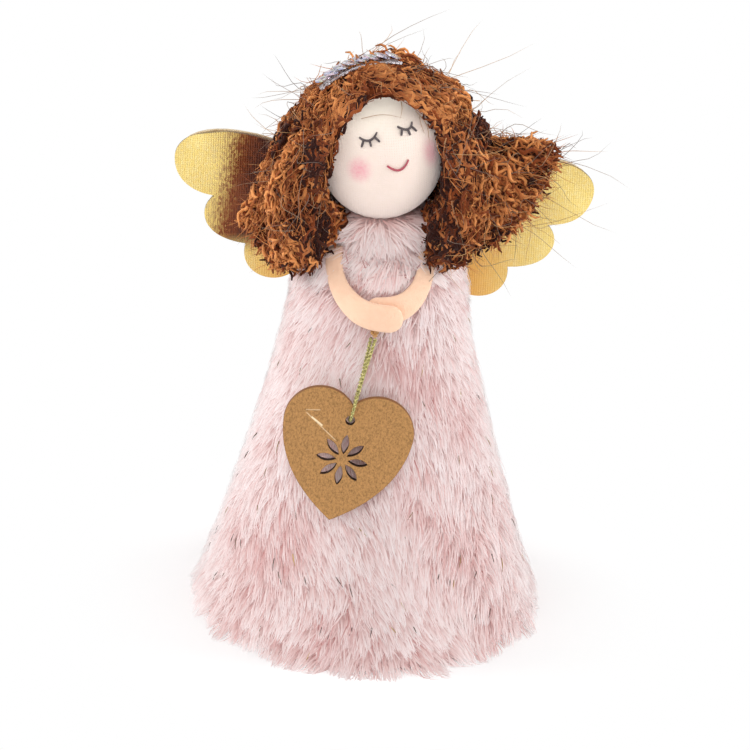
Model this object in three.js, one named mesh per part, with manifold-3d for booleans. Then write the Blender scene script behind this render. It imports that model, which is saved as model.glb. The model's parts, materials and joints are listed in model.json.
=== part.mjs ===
// Angel tree topper: a plush-covered cone doll with a cloth head, yarn hair, a sequin tiara, gold cloth
// wings, felt arms, and a wooden heart that hangs under the hands on a doubled gold cord.
// Millimetres, +Z up. The origin is the centre of the base on the floor. The doll faces -Y, its left is +X.
import * as THREE from 'three';
import { mergeVertices } from 'three/addons/utils/BufferGeometryUtils.js';
import Module from 'manifold-3d';

const wasm = await Module();
wasm.setup();

// Space between two pieces that touch in the real doll.
const GAP = 0.3;

// Plush skirt: a flared cone that rounds over at the shoulders, its hem folded up inside the card cone.
const HEM_RADIUS = 40.2;
const HEM_ROUNDING = 2.5;
const HEM_THICKNESS = 1.2;
const FLAP_THICKNESS = 1.5;
const FLAP_HEIGHT = 12;
const FLARE_POWER = 1.25;
const NECK_HEIGHT = 97;
const NECK_RADIUS = 10.2;
const NECK_OPENING_RADIUS = 4;
const SHOULDER_BELOW_NECK = 13;
const SHOULDER_RADIUS = 19.6;

// Card cone, open at the bottom.
const PLUSH_AT_HEM = 5.2;
const PLUSH_AT_SHOULDER = 6.1;
const CONE_TOP_BELOW_NECK = 11;
const CARD_THICKNESS = 1;

// Foam shoulder plug: a spigot in the top of the cone under a dome.
const SPIGOT_LENGTH = 10;
const DOME_HEIGHT = 9;
const PEG_RADIUS = 2;
const PEG_LENGTH = 39;

// Plush collar.
const COLLAR_RADIUS = 13;
const COLLAR_HEIGHT = 8.6;
const COLLAR_OPENING_RADIUS = 4.6;
const COLLAR_ROUNDNESS = 0.5;

// Head: a foam ball in a cloth cover. It leans to the doll's right, turns to its left and tips back.
const HEAD_RADIUS = 14.5;
const HEAD_X = -1;
const HEAD_Y = -2;
const CHIN_ABOVE_NECK = 7;
const CLOTH_THICKNESS = 0.8;
const HEAD_LEAN_DEG = 19;
const HEAD_TURN_DEG = 13.5;
const HEAD_TIP_BACK_DEG = 25.4;

// Stitched face.
const STITCH_RADIUS = 0.28;
const EYE_AZIMUTH_DEG = 19.8;
const EYE_ELEVATION_DEG = 22.5;
const EYE_HALF_WIDTH_DEG = 9;
const EYE_SAG_DEG = 5.5;
const LASH_LENGTH_DEG = 6;
const LASH_SPREAD = 0.6;
const LASH_TAPER = 0.7;
const MOUTH_ELEVATION_DEG = -10;
const MOUTH_HALF_WIDTH_DEG = 10.5;
const MOUTH_SAG_DEG = 7;

// Yarn hair. The crown is a lumpy ellipsoid round the head, and each bunch is a fan of thick locks.
const CROWN_HALF_WIDTH = 22;
const CROWN_HALF_DEPTH = 21;
const CROWN_HALF_HEIGHT = 22;
const CROWN_SET_BACK = 4;
const CROWN_LUMP = 0.035;
const CROWN_LUMP_WAVES = [[7, 0, 3, 0], [-2, 8, 0, 1], [0, 0, 9, 2]];
const NAPE_ABOVE_NECK = 5;
const FACE_TOP = 12.3;
const FACE_BROW_HALF_WIDTH = 8;
const FACE_HALF_WIDTH = 15.5;
const LOCK_ROOT_RADIUS = 5.5;
const LOCK_MIDDLE_RADIUS = 6;
const LOCK_END_RADIUS = 5;
const LOCK_TIP_RADIUS = 3;
const LEFT_LOCKS = 6;
const RIGHT_LOCKS = 6;

// Lines of points across each bunch, from the head's centre: the outer and the inner lock at the root, the
// bend and the fall, and the curve that the tips follow. The right bunch hangs down, the left one flares out.
const RIGHT_LOCK_ROOT = [[-13, 7, 9], [-13, -7, 8]];
const RIGHT_LOCK_BEND = [[-18.2, 7, 0], [-17.8, -10, -3]];
const RIGHT_LOCK_FALL = [[-24.5, 5, -14], [-19, -11, -13]];
const RIGHT_LOCK_TIPS = [[-29.5, 4, -21.5], [-24, -6, -29], [-17, -11, -22]];
const LEFT_LOCK_ROOT = [[15, 7, 5], [15, -4, 7]];
const LEFT_LOCK_BEND = [[22, 6, -1], [19.5, -8, -3]];
const LEFT_LOCK_FALL = [[31, 4, -1.5], [20.5, -10, -12]];
const LEFT_LOCK_TIPS = [[40, 2, 0.5], [37, -4, -14.5], [18, -10, -21]];

// Tiara: a ribbon over the front of the crown with a row of sequins that lap each other.
const TIARA_ELEVATION_DEG = 73;
const TIARA_TURN_DEG = -8;
const RIBBON_LIFT = 0.8;
const RIBBON_WIDTH = 2.4;
const RIBBON_THICKNESS = 0.6;
const SEQUIN_COUNT = 8;
const SEQUIN_RADIUS = 2;
const SEQUIN_HOLE_RADIUS = 0.5;
const SEQUIN_THICKNESS = 0.25;
const SEQUIN_PITCH = 2.3;
const SEQUIN_TILT_DEG = 18;

// Wings: one panel of gold cloth with a stiffener behind it, glued to the back a little askew.
const WING_ROOT_BELOW_NECK = 5;
const WING_ROLL_DEG = 2.6;
const WING_ROLL_CENTRE = 12;
const GOLD_CLOTH_THICKNESS = 0.5;
const STIFFENER_THICKNESS = 0.8;
const STIFFENER_INSET_SCALE = 0.985;
const GLUE_RADIUS = 4.5;

// Felt arms. Both lie on the chest as one U, and the doll's right hand lies over the left one.
const ARM_THICKNESS = 1.6;
const ARM_SPREAD = 10.4;
const ARM_ROOT_BELOW_NECK = 0.8;
const HAND_BELOW_ROOT = 9.2;
const ARM_WIDTH = 4.4;
const ARM_EDGE = 0.4;
const ARM_BEND_SHARE = 0.8;
const ARM_BEND_POWER = 0.8;
const HAND_LIFT_SPAN = [0.35, 0.75];
const HAND_WIDEN_SPAN = [0.2, 0.8];
const HAND_WIDTH = 6.8;
const RIGHT_HAND_REACH = 5.2;
const LEFT_HAND_REACH = 3;

// Pendant: knot, doubled cord and heart, in one plane that leans out with the skirt.
const KNOT_X = -0.5;
const KNOT_BELOW_HANDS = 4.9;
const KNOT_RADIUS = 1;
const CORD_DIAMETER = 0.8;
const CORD_CLEARANCE = 0.4;
const CORD_DROP = 21.8;
const CORD_LEAN_DEG = 12.7;
const STRAND_SPLIT = 10;
const HEART_LEAN_DEG = 9;
const HEART_WIDTH = 31;
const HEART_HEIGHT = 31.6;
const HEART_THICKNESS = 2;
const LOBE_RADIUS = 8.7;
const LOBE_END_DEG = -5;
const HEART_SIDE_BOW = 13;
const HOLE_RADIUS = 1.1;
const HOLE_BELOW_NOTCH = 3.5;
const FLOWER_BELOW_HOLE = 9.8;
const PETAL_COUNT = 8;
const PETAL_START = 1.4;
const PETAL_END = 6.2;
const PETAL_WIDTH = 1.7;
const PETAL_WIDEST = 0.55;

// Fineness of the curved surfaces.
const ROUND_SEGMENTS = 44;
const BALL_SEGMENTS = 28;
const TUBE_SIDES = 8;
const LOCK_STEPS = 8;
const THREAD_SIDES = 6;
const THREAD_STEPS = 12;
const LASH_STEPS = 4;
const SEQUIN_SEGMENTS = 14;
const CURVE_SEGMENTS = 8;
const CORD_STEPS = 64;
const FINE = 1e-3;

const rad = THREE.MathUtils.degToRad;
const lerp = THREE.MathUtils.lerp;
const smoothstep = THREE.MathUtils.smoothstep;

const CONE_BOTTOM = HEM_THICKNESS + GAP;
const CONE_BOTTOM_RADIUS = HEM_RADIUS - PLUSH_AT_HEM;
const CONE_TOP_RADIUS = SHOULDER_RADIUS - PLUSH_AT_SHOULDER;
const CONE_TOP_HEIGHT = NECK_HEIGHT - CONE_TOP_BELOW_NECK;
const SHOULDER_HEIGHT = NECK_HEIGHT - SHOULDER_BELOW_NECK;
const NAPE_HEIGHT = NECK_HEIGHT + NAPE_ABOVE_NECK;
const WING_ROOT_HEIGHT = NECK_HEIGHT - WING_ROOT_BELOW_NECK;
const ARM_ROOT_HEIGHT = NECK_HEIGHT - ARM_ROOT_BELOW_NECK;
const HAND_HEIGHT = ARM_ROOT_HEIGHT - HAND_BELOW_ROOT;
const KNOT_HEIGHT = HAND_HEIGHT - KNOT_BELOW_HANDS;
const HEAD_CENTRE = new THREE.Vector3(HEAD_X, HEAD_Y, NECK_HEIGHT + CHIN_ABOVE_NECK + HEAD_RADIUS);
const headTurn = new THREE.Euler(-rad(HEAD_TIP_BACK_DEG), -rad(HEAD_LEAN_DEG), rad(HEAD_TURN_DEG));
const headMatrix = new THREE.Matrix4().makeRotationFromEuler(headTurn).setPosition(HEAD_CENTRE);

// Solids and meshes

function toSolid(geometry) {
  const bare = geometry.clone();
  bare.deleteAttribute('normal');
  bare.deleteAttribute('uv');
  const merged = mergeVertices(bare, FINE);
  return new wasm.Manifold(new wasm.Mesh({
    numProp: 3,
    vertProperties: merged.attributes.position.array,
    triVerts: new Uint32Array(merged.index.array),
  }));
}

function toGeometry(solid) {
  const mesh = solid.getMesh();
  const geometry = new THREE.BufferGeometry();
  geometry.setAttribute('position', new THREE.BufferAttribute(mesh.vertProperties, 3));
  geometry.setIndex(new THREE.BufferAttribute(mesh.triVerts, 1));
  geometry.computeVertexNormals();
  return geometry;
}

// The main body of a cut solid, without the scraps that the cut leaves.
function mainBody(solid) {
  return solid.decompose().reduce((a, b) => (a.volume() > b.volume() ? a : b));
}

function join(geometries) {
  return geometries.map(toSolid).reduce((a, b) => a.add(b));
}

// A profile of [radius, height] turned round the Z axis, its outer side listed upwards.
function turned(profile, segments = ROUND_SEGMENTS) {
  const points = profile.map(([radius, height]) => new THREE.Vector2(radius, height));
  return new THREE.LatheGeometry(points, segments).rotateX(Math.PI / 2);
}

function turnedRing(profile, segments = ROUND_SEGMENTS) {
  return turned([...profile, profile[0]], segments);
}

// A ball about the head's centre.
function ball(radius) {
  const geometry = new THREE.SphereGeometry(radius, BALL_SEGMENTS, BALL_SEGMENTS / 2);
  return geometry.rotateX(Math.PI / 2).translate(...HEAD_CENTRE);
}

function post(radius, bottom, top) {
  return turned([[0, bottom], [radius, bottom], [radius, top], [0, top]], BALL_SEGMENTS);
}

// A closed skin over rings of equally many points, with a point in the middle of each end.
function skinned(rings) {
  const sides = rings[0].length;
  const last = rings.length - 1;
  const middle = (ring) => ring.reduce((a, b) => a.clone().add(b)).divideScalar(sides);
  const points = [...rings.flat(), middle(rings[0]), middle(rings[last])];
  const faces = [];
  for (let side = 0; side < sides; side += 1) {
    const next = (side + 1) % sides;
    for (let ring = 0; ring < last; ring += 1) {
      const [a, b] = [ring * sides + side, ring * sides + next];
      faces.push(a, b, b + sides, a, b + sides, a + sides);
    }
    faces.push(points.length - 2, next, side);
    faces.push(points.length - 1, last * sides + side, last * sides + next);
  }
  const geometry = new THREE.BufferGeometry().setFromPoints(points);
  return geometry.setIndex(faces);
}

// A round tube along a curve whose radius runs through the given values.
function tapered(curve, radii, steps, sides = TUBE_SIDES) {
  const frames = curve.computeFrenetFrames(steps);
  const rings = [];
  for (let step = 0; step <= steps; step += 1) {
    const place = (step / steps) * (radii.length - 1);
    const from = Math.min(Math.floor(place), radii.length - 2);
    const radius = lerp(radii[from], radii[from + 1], place - from);
    const centre = curve.getPointAt(step / steps);
    const ring = [];
    for (let side = 0; side < sides; side += 1) {
      const angle = (side / sides) * 2 * Math.PI;
      ring.push(centre.clone()
        .addScaledVector(frames.normals[step], radius * Math.cos(angle))
        .addScaledVector(frames.binormals[step], radius * Math.sin(angle)));
    }
    rings.push(ring);
  }
  return skinned(rings);
}

function through(points) {
  return new THREE.CatmullRomCurve3(points);
}

// Body

function skirtRadius(height) {
  if (height <= SHOULDER_HEIGHT) {
    const flare = (1 - height / SHOULDER_HEIGHT) ** FLARE_POWER;
    return SHOULDER_RADIUS + (HEM_RADIUS - SHOULDER_RADIUS) * flare;
  }
  const rise = Math.min((height - SHOULDER_HEIGHT) / (NECK_HEIGHT - SHOULDER_HEIGHT), 1);
  return NECK_RADIUS + (SHOULDER_RADIUS - NECK_RADIUS) * Math.sqrt(1 - rise ** 2);
}

function coneRadius(height) {
  const share = (height - CONE_BOTTOM) / (CONE_TOP_HEIGHT - CONE_BOTTOM);
  return lerp(CONE_BOTTOM_RADIUS, CONE_TOP_RADIUS, share);
}

function coneInside(height) {
  return coneRadius(height) - CARD_THICKNESS;
}

function cardCone() {
  return turnedRing([
    [CONE_BOTTOM_RADIUS, CONE_BOTTOM],
    [CONE_TOP_RADIUS, CONE_TOP_HEIGHT],
    [coneInside(CONE_TOP_HEIGHT), CONE_TOP_HEIGHT],
    [coneInside(CONE_BOTTOM), CONE_BOTTOM],
  ]);
}

// The plug's dome, grown by the given amount, from its edge to the given radius.
function domeProfile(grow, toRadius) {
  const bore = PEG_RADIUS + GAP;
  const base = CONE_TOP_HEIGHT + GAP;
  const steps = 5;
  const end = Math.acos(Math.max(0, toRadius - grow - bore) / (CONE_TOP_RADIUS - bore));
  return Array.from({ length: steps + 1 }, (_, step) => {
    const angle = (step / steps) * end;
    const radius = bore + (CONE_TOP_RADIUS - bore) * Math.cos(angle);
    return [radius + grow, base + grow + DOME_HEIGHT * Math.sin(angle)];
  });
}

function shoulderPlug() {
  const bore = PEG_RADIUS + GAP;
  const bottom = CONE_TOP_HEIGHT - SPIGOT_LENGTH;
  return turnedRing([
    [bore, bottom],
    [coneInside(bottom) - GAP, bottom],
    [coneInside(CONE_TOP_HEIGHT) - GAP, CONE_TOP_HEIGHT + GAP],
    ...domeProfile(0, 0),
  ]);
}

// The skirt's outer side from the hem to the neck, grown by the given amount.
function skirtSide(grow) {
  const cone = 11;
  const shoulder = 7;
  const side = [[skirtRadius(HEM_ROUNDING) - HEM_ROUNDING / 2 + grow, 0]];
  for (let step = 0; step <= cone; step += 1) {
    const height = lerp(HEM_ROUNDING, SHOULDER_HEIGHT, step / cone);
    side.push([skirtRadius(height) + grow, height]);
  }
  for (let step = 1; step <= shoulder; step += 1) {
    const angle = (step / shoulder) * (Math.PI / 2);
    const height = SHOULDER_HEIGHT + (NECK_HEIGHT - SHOULDER_HEIGHT) * Math.sin(angle);
    side.push([skirtRadius(height) + grow, height + grow * Math.sin(angle)]);
  }
  return side;
}

function plushSkirt() {
  const flap = coneInside(FLAP_HEIGHT) - GAP;
  return turnedRing([
    [coneInside(0) - GAP - FLAP_THICKNESS, 0],
    ...skirtSide(0),
    [NECK_OPENING_RADIUS, NECK_HEIGHT],
    ...domeProfile(GAP, NECK_OPENING_RADIUS).reverse(),
    [CONE_BOTTOM_RADIUS + GAP, HEM_THICKNESS],
    [coneInside(CONE_BOTTOM) - GAP, HEM_THICKNESS],
    [flap, FLAP_HEIGHT],
    [flap - FLAP_THICKNESS, FLAP_HEIGHT],
  ]);
}

// A solid that fills the skirt's outline, grown by the usual gap, to trim what lies on the skirt.
function skirtSpace() {
  const side = skirtSide(GAP);
  const [, top] = side[side.length - 1];
  return toSolid(turned([[0, 0], ...side, [0, top]]));
}

// The collar's section, grown by the given amount.
function collarSection(grow) {
  const bottom = NECK_HEIGHT + GAP - grow;
  const steps = 8;
  const section = [[COLLAR_OPENING_RADIUS, bottom]];
  for (let step = 0; step <= steps; step += 1) {
    const angle = lerp(-1, 1, step / steps) * (Math.PI / 2);
    const reach = COLLAR_RADIUS - COLLAR_OPENING_RADIUS;
    const radius = COLLAR_OPENING_RADIUS + reach * Math.cos(angle) ** COLLAR_ROUNDNESS + grow;
    section.push([radius, bottom + (COLLAR_HEIGHT / 2 + grow) * (1 + Math.sin(angle))]);
  }
  return section;
}

function plushCollar() {
  return toSolid(turnedRing(collarSection(0))).subtract(toSolid(ball(HEAD_RADIUS + GAP)));
}

// The collar grown by the usual gap, to trim the hair that lies round it.
function collarSpace() {
  return toSolid(turnedRing(collarSection(GAP)));
}

// Head

function headCore() {
  const core = toSolid(ball(HEAD_RADIUS - CLOTH_THICKNESS - GAP));
  const pegTop = CONE_TOP_HEIGHT - SPIGOT_LENGTH + PEG_LENGTH;
  return core.subtract(toSolid(post(PEG_RADIUS + GAP, NECK_HEIGHT, pegTop + GAP)));
}

function faceCover() {
  const shell = toSolid(ball(HEAD_RADIUS)).subtract(toSolid(ball(HEAD_RADIUS - CLOTH_THICKNESS)));
  return shell.subtract(toSolid(post(NECK_OPENING_RADIUS, NECK_HEIGHT, HEAD_CENTRE.z)));
}

// A point over the head in its own frame, by azimuth to the doll's left and elevation, in degrees.
function onHead(radius, azimuth, elevation) {
  const level = radius * Math.cos(rad(elevation));
  return new THREE.Vector3(
    level * Math.sin(rad(azimuth)),
    -level * Math.cos(rad(azimuth)),
    radius * Math.sin(rad(elevation)),
  );
}

// A thread that sags between two ends at one elevation over the head.
function saggingThread(azimuth, elevation, halfWidth, sag) {
  const radius = HEAD_RADIUS + GAP + STITCH_RADIUS;
  const steps = 8;
  const points = Array.from({ length: steps + 1 }, (_, step) => {
    const across = lerp(-1, 1, step / steps);
    return onHead(radius, azimuth + across * halfWidth, elevation - sag * (1 - across ** 2));
  });
  return tapered(through(points), [STITCH_RADIUS, STITCH_RADIUS], THREAD_STEPS, THREAD_SIDES);
}

function eyeStitch(azimuth) {
  const radius = HEAD_RADIUS + GAP + STITCH_RADIUS;
  const threads = [saggingThread(azimuth, EYE_ELEVATION_DEG, EYE_HALF_WIDTH_DEG, EYE_SAG_DEG)];
  for (const across of [-LASH_SPREAD, 0, LASH_SPREAD]) {
    const lid = EYE_ELEVATION_DEG - EYE_SAG_DEG * (1 - across ** 2);
    const root = azimuth + across * EYE_HALF_WIDTH_DEG;
    const lash = [0, 0.5, 1].map((along) => onHead(
      radius,
      root + along * across * LASH_LENGTH_DEG,
      lid - along * LASH_LENGTH_DEG,
    ));
    const radii = [STITCH_RADIUS, STITCH_RADIUS * LASH_TAPER];
    threads.push(tapered(through(lash), radii, LASH_STEPS, THREAD_SIDES));
  }
  return join(threads);
}

// Arms

// A place on the front of the skirt, lifted off its plush, and the way out of the plush there.
function onChest(x, height, lift) {
  const step = 0.01;
  const radius = skirtRadius(height);
  const slope = (skirtRadius(height + step) - skirtRadius(height - step)) / (2 * step);
  const y = -Math.sqrt(Math.max(radius ** 2 - x ** 2, 0));
  const out = new THREE.Vector3(x / radius, y / radius, -slope).normalize();
  return { out, place: new THREE.Vector3(x, y, height).addScaledVector(out, lift) };
}

// One arm as a felt strip with a rounded hand, grown all round by the given amount.
function armStrip(side, handReach, handLift, grow) {
  const steps = 26;
  const spots = Array.from({ length: steps + 1 }, (_, step) => {
    const along = step / steps;
    const bend = Math.min(along / ARM_BEND_SHARE, 1) * (Math.PI / 2);
    const past = Math.max(along - ARM_BEND_SHARE, 0) / (1 - ARM_BEND_SHARE);
    const x = side * (ARM_SPREAD * Math.max(Math.cos(bend), 0) ** ARM_BEND_POWER - past * handReach);
    const height = ARM_ROOT_HEIGHT - HAND_BELOW_ROOT * Math.sin(bend);
    const lift = GAP + ARM_THICKNESS / 2 + handLift * smoothstep(along, ...HAND_LIFT_SPAN);
    return onChest(x, height, lift);
  });
  const lengths = [0];
  for (let step = 1; step <= steps; step += 1) {
    lengths.push(lengths[step - 1] + spots[step].place.distanceTo(spots[step - 1].place));
  }
  const total = lengths[steps];
  const rings = spots.map(({ out, place }, step) => {
    const before = spots[Math.max(step - 1, 0)].place;
    const after = spots[Math.min(step + 1, steps)].place;
    const ahead = after.clone().sub(before).normalize();
    const across = new THREE.Vector3().crossVectors(out, ahead).normalize();
    const wide = lerp(ARM_WIDTH, HAND_WIDTH, smoothstep(lengths[step] / total, ...HAND_WIDEN_SPAN));
    const left = Math.max(total - lengths[step], 0) / (HAND_WIDTH / 2);
    const round = Math.sqrt(Math.max(1 - Math.max(1 - left, 0) ** 2, 0));
    const half = Math.max((wide / 2) * round, ARM_EDGE) + grow;
    const thick = ARM_THICKNESS / 2 + grow;
    const chamfer = Math.min(ARM_EDGE, half / 2);
    const corners = [
      [half, chamfer - thick], [half, thick - chamfer],
      [half - chamfer, thick], [chamfer - half, thick],
      [-half, thick - chamfer], [-half, chamfer - thick],
      [chamfer - half, -thick], [half - chamfer, -thick],
    ];
    return corners.map(([a, b]) => place.clone().addScaledVector(across, a).addScaledVector(out, b));
  });
  return skinned(rings);
}

function rightArm(grow) {
  return armStrip(-1, RIGHT_HAND_REACH, ARM_THICKNESS + GAP, grow);
}

function leftArm(grow) {
  return armStrip(1, LEFT_HAND_REACH, 0, grow);
}

// Tiara

// How far the crown's smooth form reaches from the head's centre in one direction.
function crownReach(way) {
  const axes = new THREE.Vector3(CROWN_HALF_WIDTH, CROWN_HALF_DEPTH, CROWN_HALF_HEIGHT);
  const start = new THREE.Vector3(0, -CROWN_SET_BACK, 0).divide(axes);
  const run = way.clone().divide(axes);
  const [a, b, c] = [run.lengthSq(), 2 * run.dot(start), start.lengthSq() - 1];
  return (Math.sqrt(b ** 2 - 4 * a * c) - b) / (2 * a);
}

// The tiara's own frame: its arc lies in the XY plane round the head's centre, outwards at -Y.
const tiaraFrame = new THREE.Matrix4().makeRotationFromEuler(headTurn)
  .multiply(new THREE.Matrix4().makeRotationZ(rad(TIARA_TURN_DEG)))
  .multiply(new THREE.Matrix4().makeRotationX(-rad(TIARA_ELEVATION_DEG)));

const TIARA_STEP = SEQUIN_PITCH / CROWN_HALF_HEIGHT;
const TIARA_HALF_ANGLE = ((SEQUIN_COUNT - 1) / 2) * TIARA_STEP + SEQUIN_RADIUS / CROWN_HALF_HEIGHT;

// The frame of one place along the tiara: X along it, Y up the head and Z out of the hair.
function tiaraSpot(angle) {
  const place = (turn) => {
    const way = new THREE.Vector3(Math.sin(turn), -Math.cos(turn), 0).transformDirection(tiaraFrame);
    return way.multiplyScalar(crownReach(way) + RIBBON_LIFT).add(HEAD_CENTRE);
  };
  const along = place(angle + FINE).sub(place(angle - FINE)).normalize();
  const up = new THREE.Vector3(0, 0, 1).transformDirection(tiaraFrame);
  const out = new THREE.Vector3().crossVectors(along, up).normalize();
  up.crossVectors(out, along);
  return new THREE.Matrix4().makeBasis(along, up, out).setPosition(place(angle));
}

function tiaraRibbon(grow) {
  const steps = 12;
  const rings = Array.from({ length: steps + 1 }, (_, step) => {
    const spot = tiaraSpot(lerp(-1, 1, step / steps) * (TIARA_HALF_ANGLE + grow / CROWN_HALF_HEIGHT));
    const inner = -RIBBON_THICKNESS - grow;
    const half = RIBBON_WIDTH / 2 + grow;
    return [[half, inner], [half, grow], [-half, grow], [-half, inner]].map(
      ([up, out]) => new THREE.Vector3(0, up, out).applyMatrix4(spot),
    );
  });
  return skinned(rings);
}

function sequin() {
  return turnedRing([
    [SEQUIN_HOLE_RADIUS, -SEQUIN_THICKNESS / 2],
    [SEQUIN_RADIUS, -SEQUIN_THICKNESS / 2],
    [SEQUIN_RADIUS, SEQUIN_THICKNESS / 2],
    [SEQUIN_HOLE_RADIUS, SEQUIN_THICKNESS / 2],
  ], SEQUIN_SEGMENTS);
}

// The place of one sequin on the ribbon.
function sequinMatrix(index) {
  const lift = GAP + SEQUIN_THICKNESS + SEQUIN_RADIUS * Math.sin(rad(SEQUIN_TILT_DEG));
  return tiaraSpot((index - (SEQUIN_COUNT - 1) / 2) * TIARA_STEP)
    .multiply(new THREE.Matrix4().makeTranslation(0, 0, lift))
    .multiply(new THREE.Matrix4().makeRotationY(rad(SEQUIN_TILT_DEG)));
}

// Hair

// The crown's outer form, grown by the given amount.
function crownForm(grow) {
  const geometry = new THREE.SphereGeometry(1, BALL_SEGMENTS, BALL_SEGMENTS / 2).rotateX(Math.PI / 2);
  const points = geometry.attributes.position;
  for (let i = 0; i < points.count; i += 1) {
    const way = new THREE.Vector3().fromBufferAttribute(points, i);
    const waves = CROWN_LUMP_WAVES.map(
      ([x, y, z, phase]) => Math.sin(x * way.x + y * way.y + z * way.z + phase),
    );
    const size = 1 + (CROWN_LUMP / waves.length) * waves.reduce((a, b) => a + b);
    points.setXYZ(
      i,
      way.x * (CROWN_HALF_WIDTH * size + grow),
      way.y * (CROWN_HALF_DEPTH * size + grow),
      way.z * (CROWN_HALF_HEIGHT * size + grow),
    );
  }
  return toSolid(geometry.translate(HEAD_CENTRE.x, HEAD_CENTRE.y + CROWN_SET_BACK, HEAD_CENTRE.z));
}

// The opening in the hair in front of the face, in the head's frame, shrunk by the given amount.
function faceOpening(shrink) {
  const reach = 3 * HEAD_RADIUS;
  const half = FACE_HALF_WIDTH - shrink;
  const top = FACE_TOP - shrink;
  const brow = FACE_BROW_HALF_WIDTH - shrink;
  const arch = new THREE.Shape();
  arch.moveTo(-half, -reach);
  arch.lineTo(half, -reach);
  arch.lineTo(half, -FACE_TOP / 2);
  arch.bezierCurveTo(half, 0, brow, top, 0, top);
  arch.bezierCurveTo(-brow, top, -half, 0, -half, -FACE_TOP / 2);
  const geometry = new THREE.ExtrudeGeometry(arch, {
    depth: reach,
    bevelEnabled: false,
    curveSegments: CURVE_SEGMENTS,
  });
  return toSolid(geometry.rotateX(Math.PI / 2).applyMatrix4(headMatrix));
}

// The room under and inside the crown that the head, the neck and the shoulders take.
function headSpace(shrink) {
  const radius = HEAD_RADIUS + GAP - shrink;
  const neck = post(radius, 0, HEAD_CENTRE.z - HEAD_RADIUS / 4).translate(HEAD_CENTRE.x, HEAD_CENTRE.y, 0);
  return toSolid(ball(radius)).add(toSolid(neck));
}

function belowNape(shrink) {
  const wide = 4 * CROWN_HALF_WIDTH;
  const box = new THREE.BoxGeometry(wide, wide, 2 * (NAPE_HEIGHT - shrink));
  return toSolid(box);
}

function crownSolid(grow) {
  return crownForm(grow)
    .subtract(headSpace(grow))
    .subtract(faceOpening(grow))
    .subtract(belowNape(grow));
}

function hairCrown() {
  return mainBody(crownSolid(0).subtract(toSolid(tiaraRibbon(GAP))).subtract(collarSpace()));
}

// A fan of locks from the head to the tips.
function lockFan(count, root, bend, fall, tip) {
  return Array.from({ length: count }, (_, index) => {
    const share = index / (count - 1);
    const between = ([a, b]) => new THREE.Vector3(...a).lerp(new THREE.Vector3(...b), share);
    const end = new THREE.QuadraticBezierCurve3(...tip.map((p) => new THREE.Vector3(...p))).getPoint(share);
    const points = [between(root), between(bend), between(fall), end].map((p) => p.add(HEAD_CENTRE));
    return tapered(
      through(points),
      [LOCK_ROOT_RADIUS, LOCK_MIDDLE_RADIUS, LOCK_MIDDLE_RADIUS, LOCK_END_RADIUS, LOCK_TIP_RADIUS],
      LOCK_STEPS,
    );
  });
}

function trimmedBunch(locks) {
  const trims = [
    headSpace(0),
    crownSolid(GAP),
    skirtSpace(),
    collarSpace(),
    toSolid(leftArm(GAP)),
    toSolid(rightArm(GAP)),
  ];
  return mainBody(trims.reduce((hair, trim) => hair.subtract(trim), join(locks)));
}

function rightBunch() {
  const locks = lockFan(RIGHT_LOCKS, RIGHT_LOCK_ROOT, RIGHT_LOCK_BEND, RIGHT_LOCK_FALL, RIGHT_LOCK_TIPS);
  return trimmedBunch(locks);
}

function leftBunch() {
  return trimmedBunch(lockFan(LEFT_LOCKS, LEFT_LOCK_ROOT, LEFT_LOCK_BEND, LEFT_LOCK_FALL, LEFT_LOCK_TIPS));
}

// Wings

// Half of the wings' outline from the top of the root to its bottom, as curves of two handles and an end.
const WING_TOP = [0, 6];
const WING_CURVES = [
  [[10, 11.5], [24, 18.8], [36, 19.3]],
  [[43, 19.8], [50, 17.6], [50, 12]],
  [[50, 7], [46, 3], [39.8, 2.6]],
  [[44, -1], [42, -8.5], [31.4, -9.6]],
  [[32.5, -15], [28.5, -18.3], [24.4, -18.3]],
  [[20.5, -18.3], [18, -15], [16, -12]],
  [[12, -8], [6, -6], [0, -6]],
];

function wingPanel(thickness, scale) {
  const half = new THREE.Path();
  half.moveTo(...WING_TOP);
  WING_CURVES.forEach(([a, b, end]) => half.bezierCurveTo(...a, ...b, ...end));
  const left = half.getPoints(CURVE_SEGMENTS);
  const right = left.slice(1, -1).reverse().map((p) => new THREE.Vector2(-p.x, p.y));
  const outline = new THREE.Shape([...left, ...right].map((p) => p.multiplyScalar(scale)));
  return new THREE.ExtrudeGeometry(outline, { depth: thickness, bevelEnabled: false }).rotateX(Math.PI / 2);
}

const WING_FRONT = skirtRadius(WING_ROOT_HEIGHT + WING_CURVES.at(-1)[2][1]) + GAP;

function placeWing(mesh, back) {
  const hub = new THREE.Group();
  hub.position.set(0, back, WING_ROOT_HEIGHT + WING_ROLL_CENTRE);
  hub.rotation.y = rad(WING_ROLL_DEG);
  mesh.position.z = -WING_ROLL_CENTRE;
  hub.add(mesh);
  return hub;
}

function wingGlue() {
  const reach = WING_FRONT - GAP;
  const pad = new THREE.CylinderGeometry(GLUE_RADIUS, GLUE_RADIUS, reach, BALL_SEGMENTS / 2);
  return toSolid(pad.translate(0, reach / 2, WING_ROOT_HEIGHT)).subtract(skirtSpace());
}

// Pendant

const turnRadius = HEART_THICKNESS / 2 + CORD_CLEARANCE + CORD_DIAMETER / 2;
const HOLE_X = KNOT_X - CORD_DROP * Math.sin(rad(CORD_LEAN_DEG));
const HOLE_DROP = CORD_DROP * Math.cos(rad(CORD_LEAN_DEG));
const NOTCH_RISE = Math.sqrt(LOBE_RADIUS ** 2 - (HEART_WIDTH / 2 - LOBE_RADIUS) ** 2);
const LOBE_TOP = HOLE_BELOW_NOTCH - NOTCH_RISE + LOBE_RADIUS;
const HEART_TIP = LOBE_TOP - HEART_HEIGHT;

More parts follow.
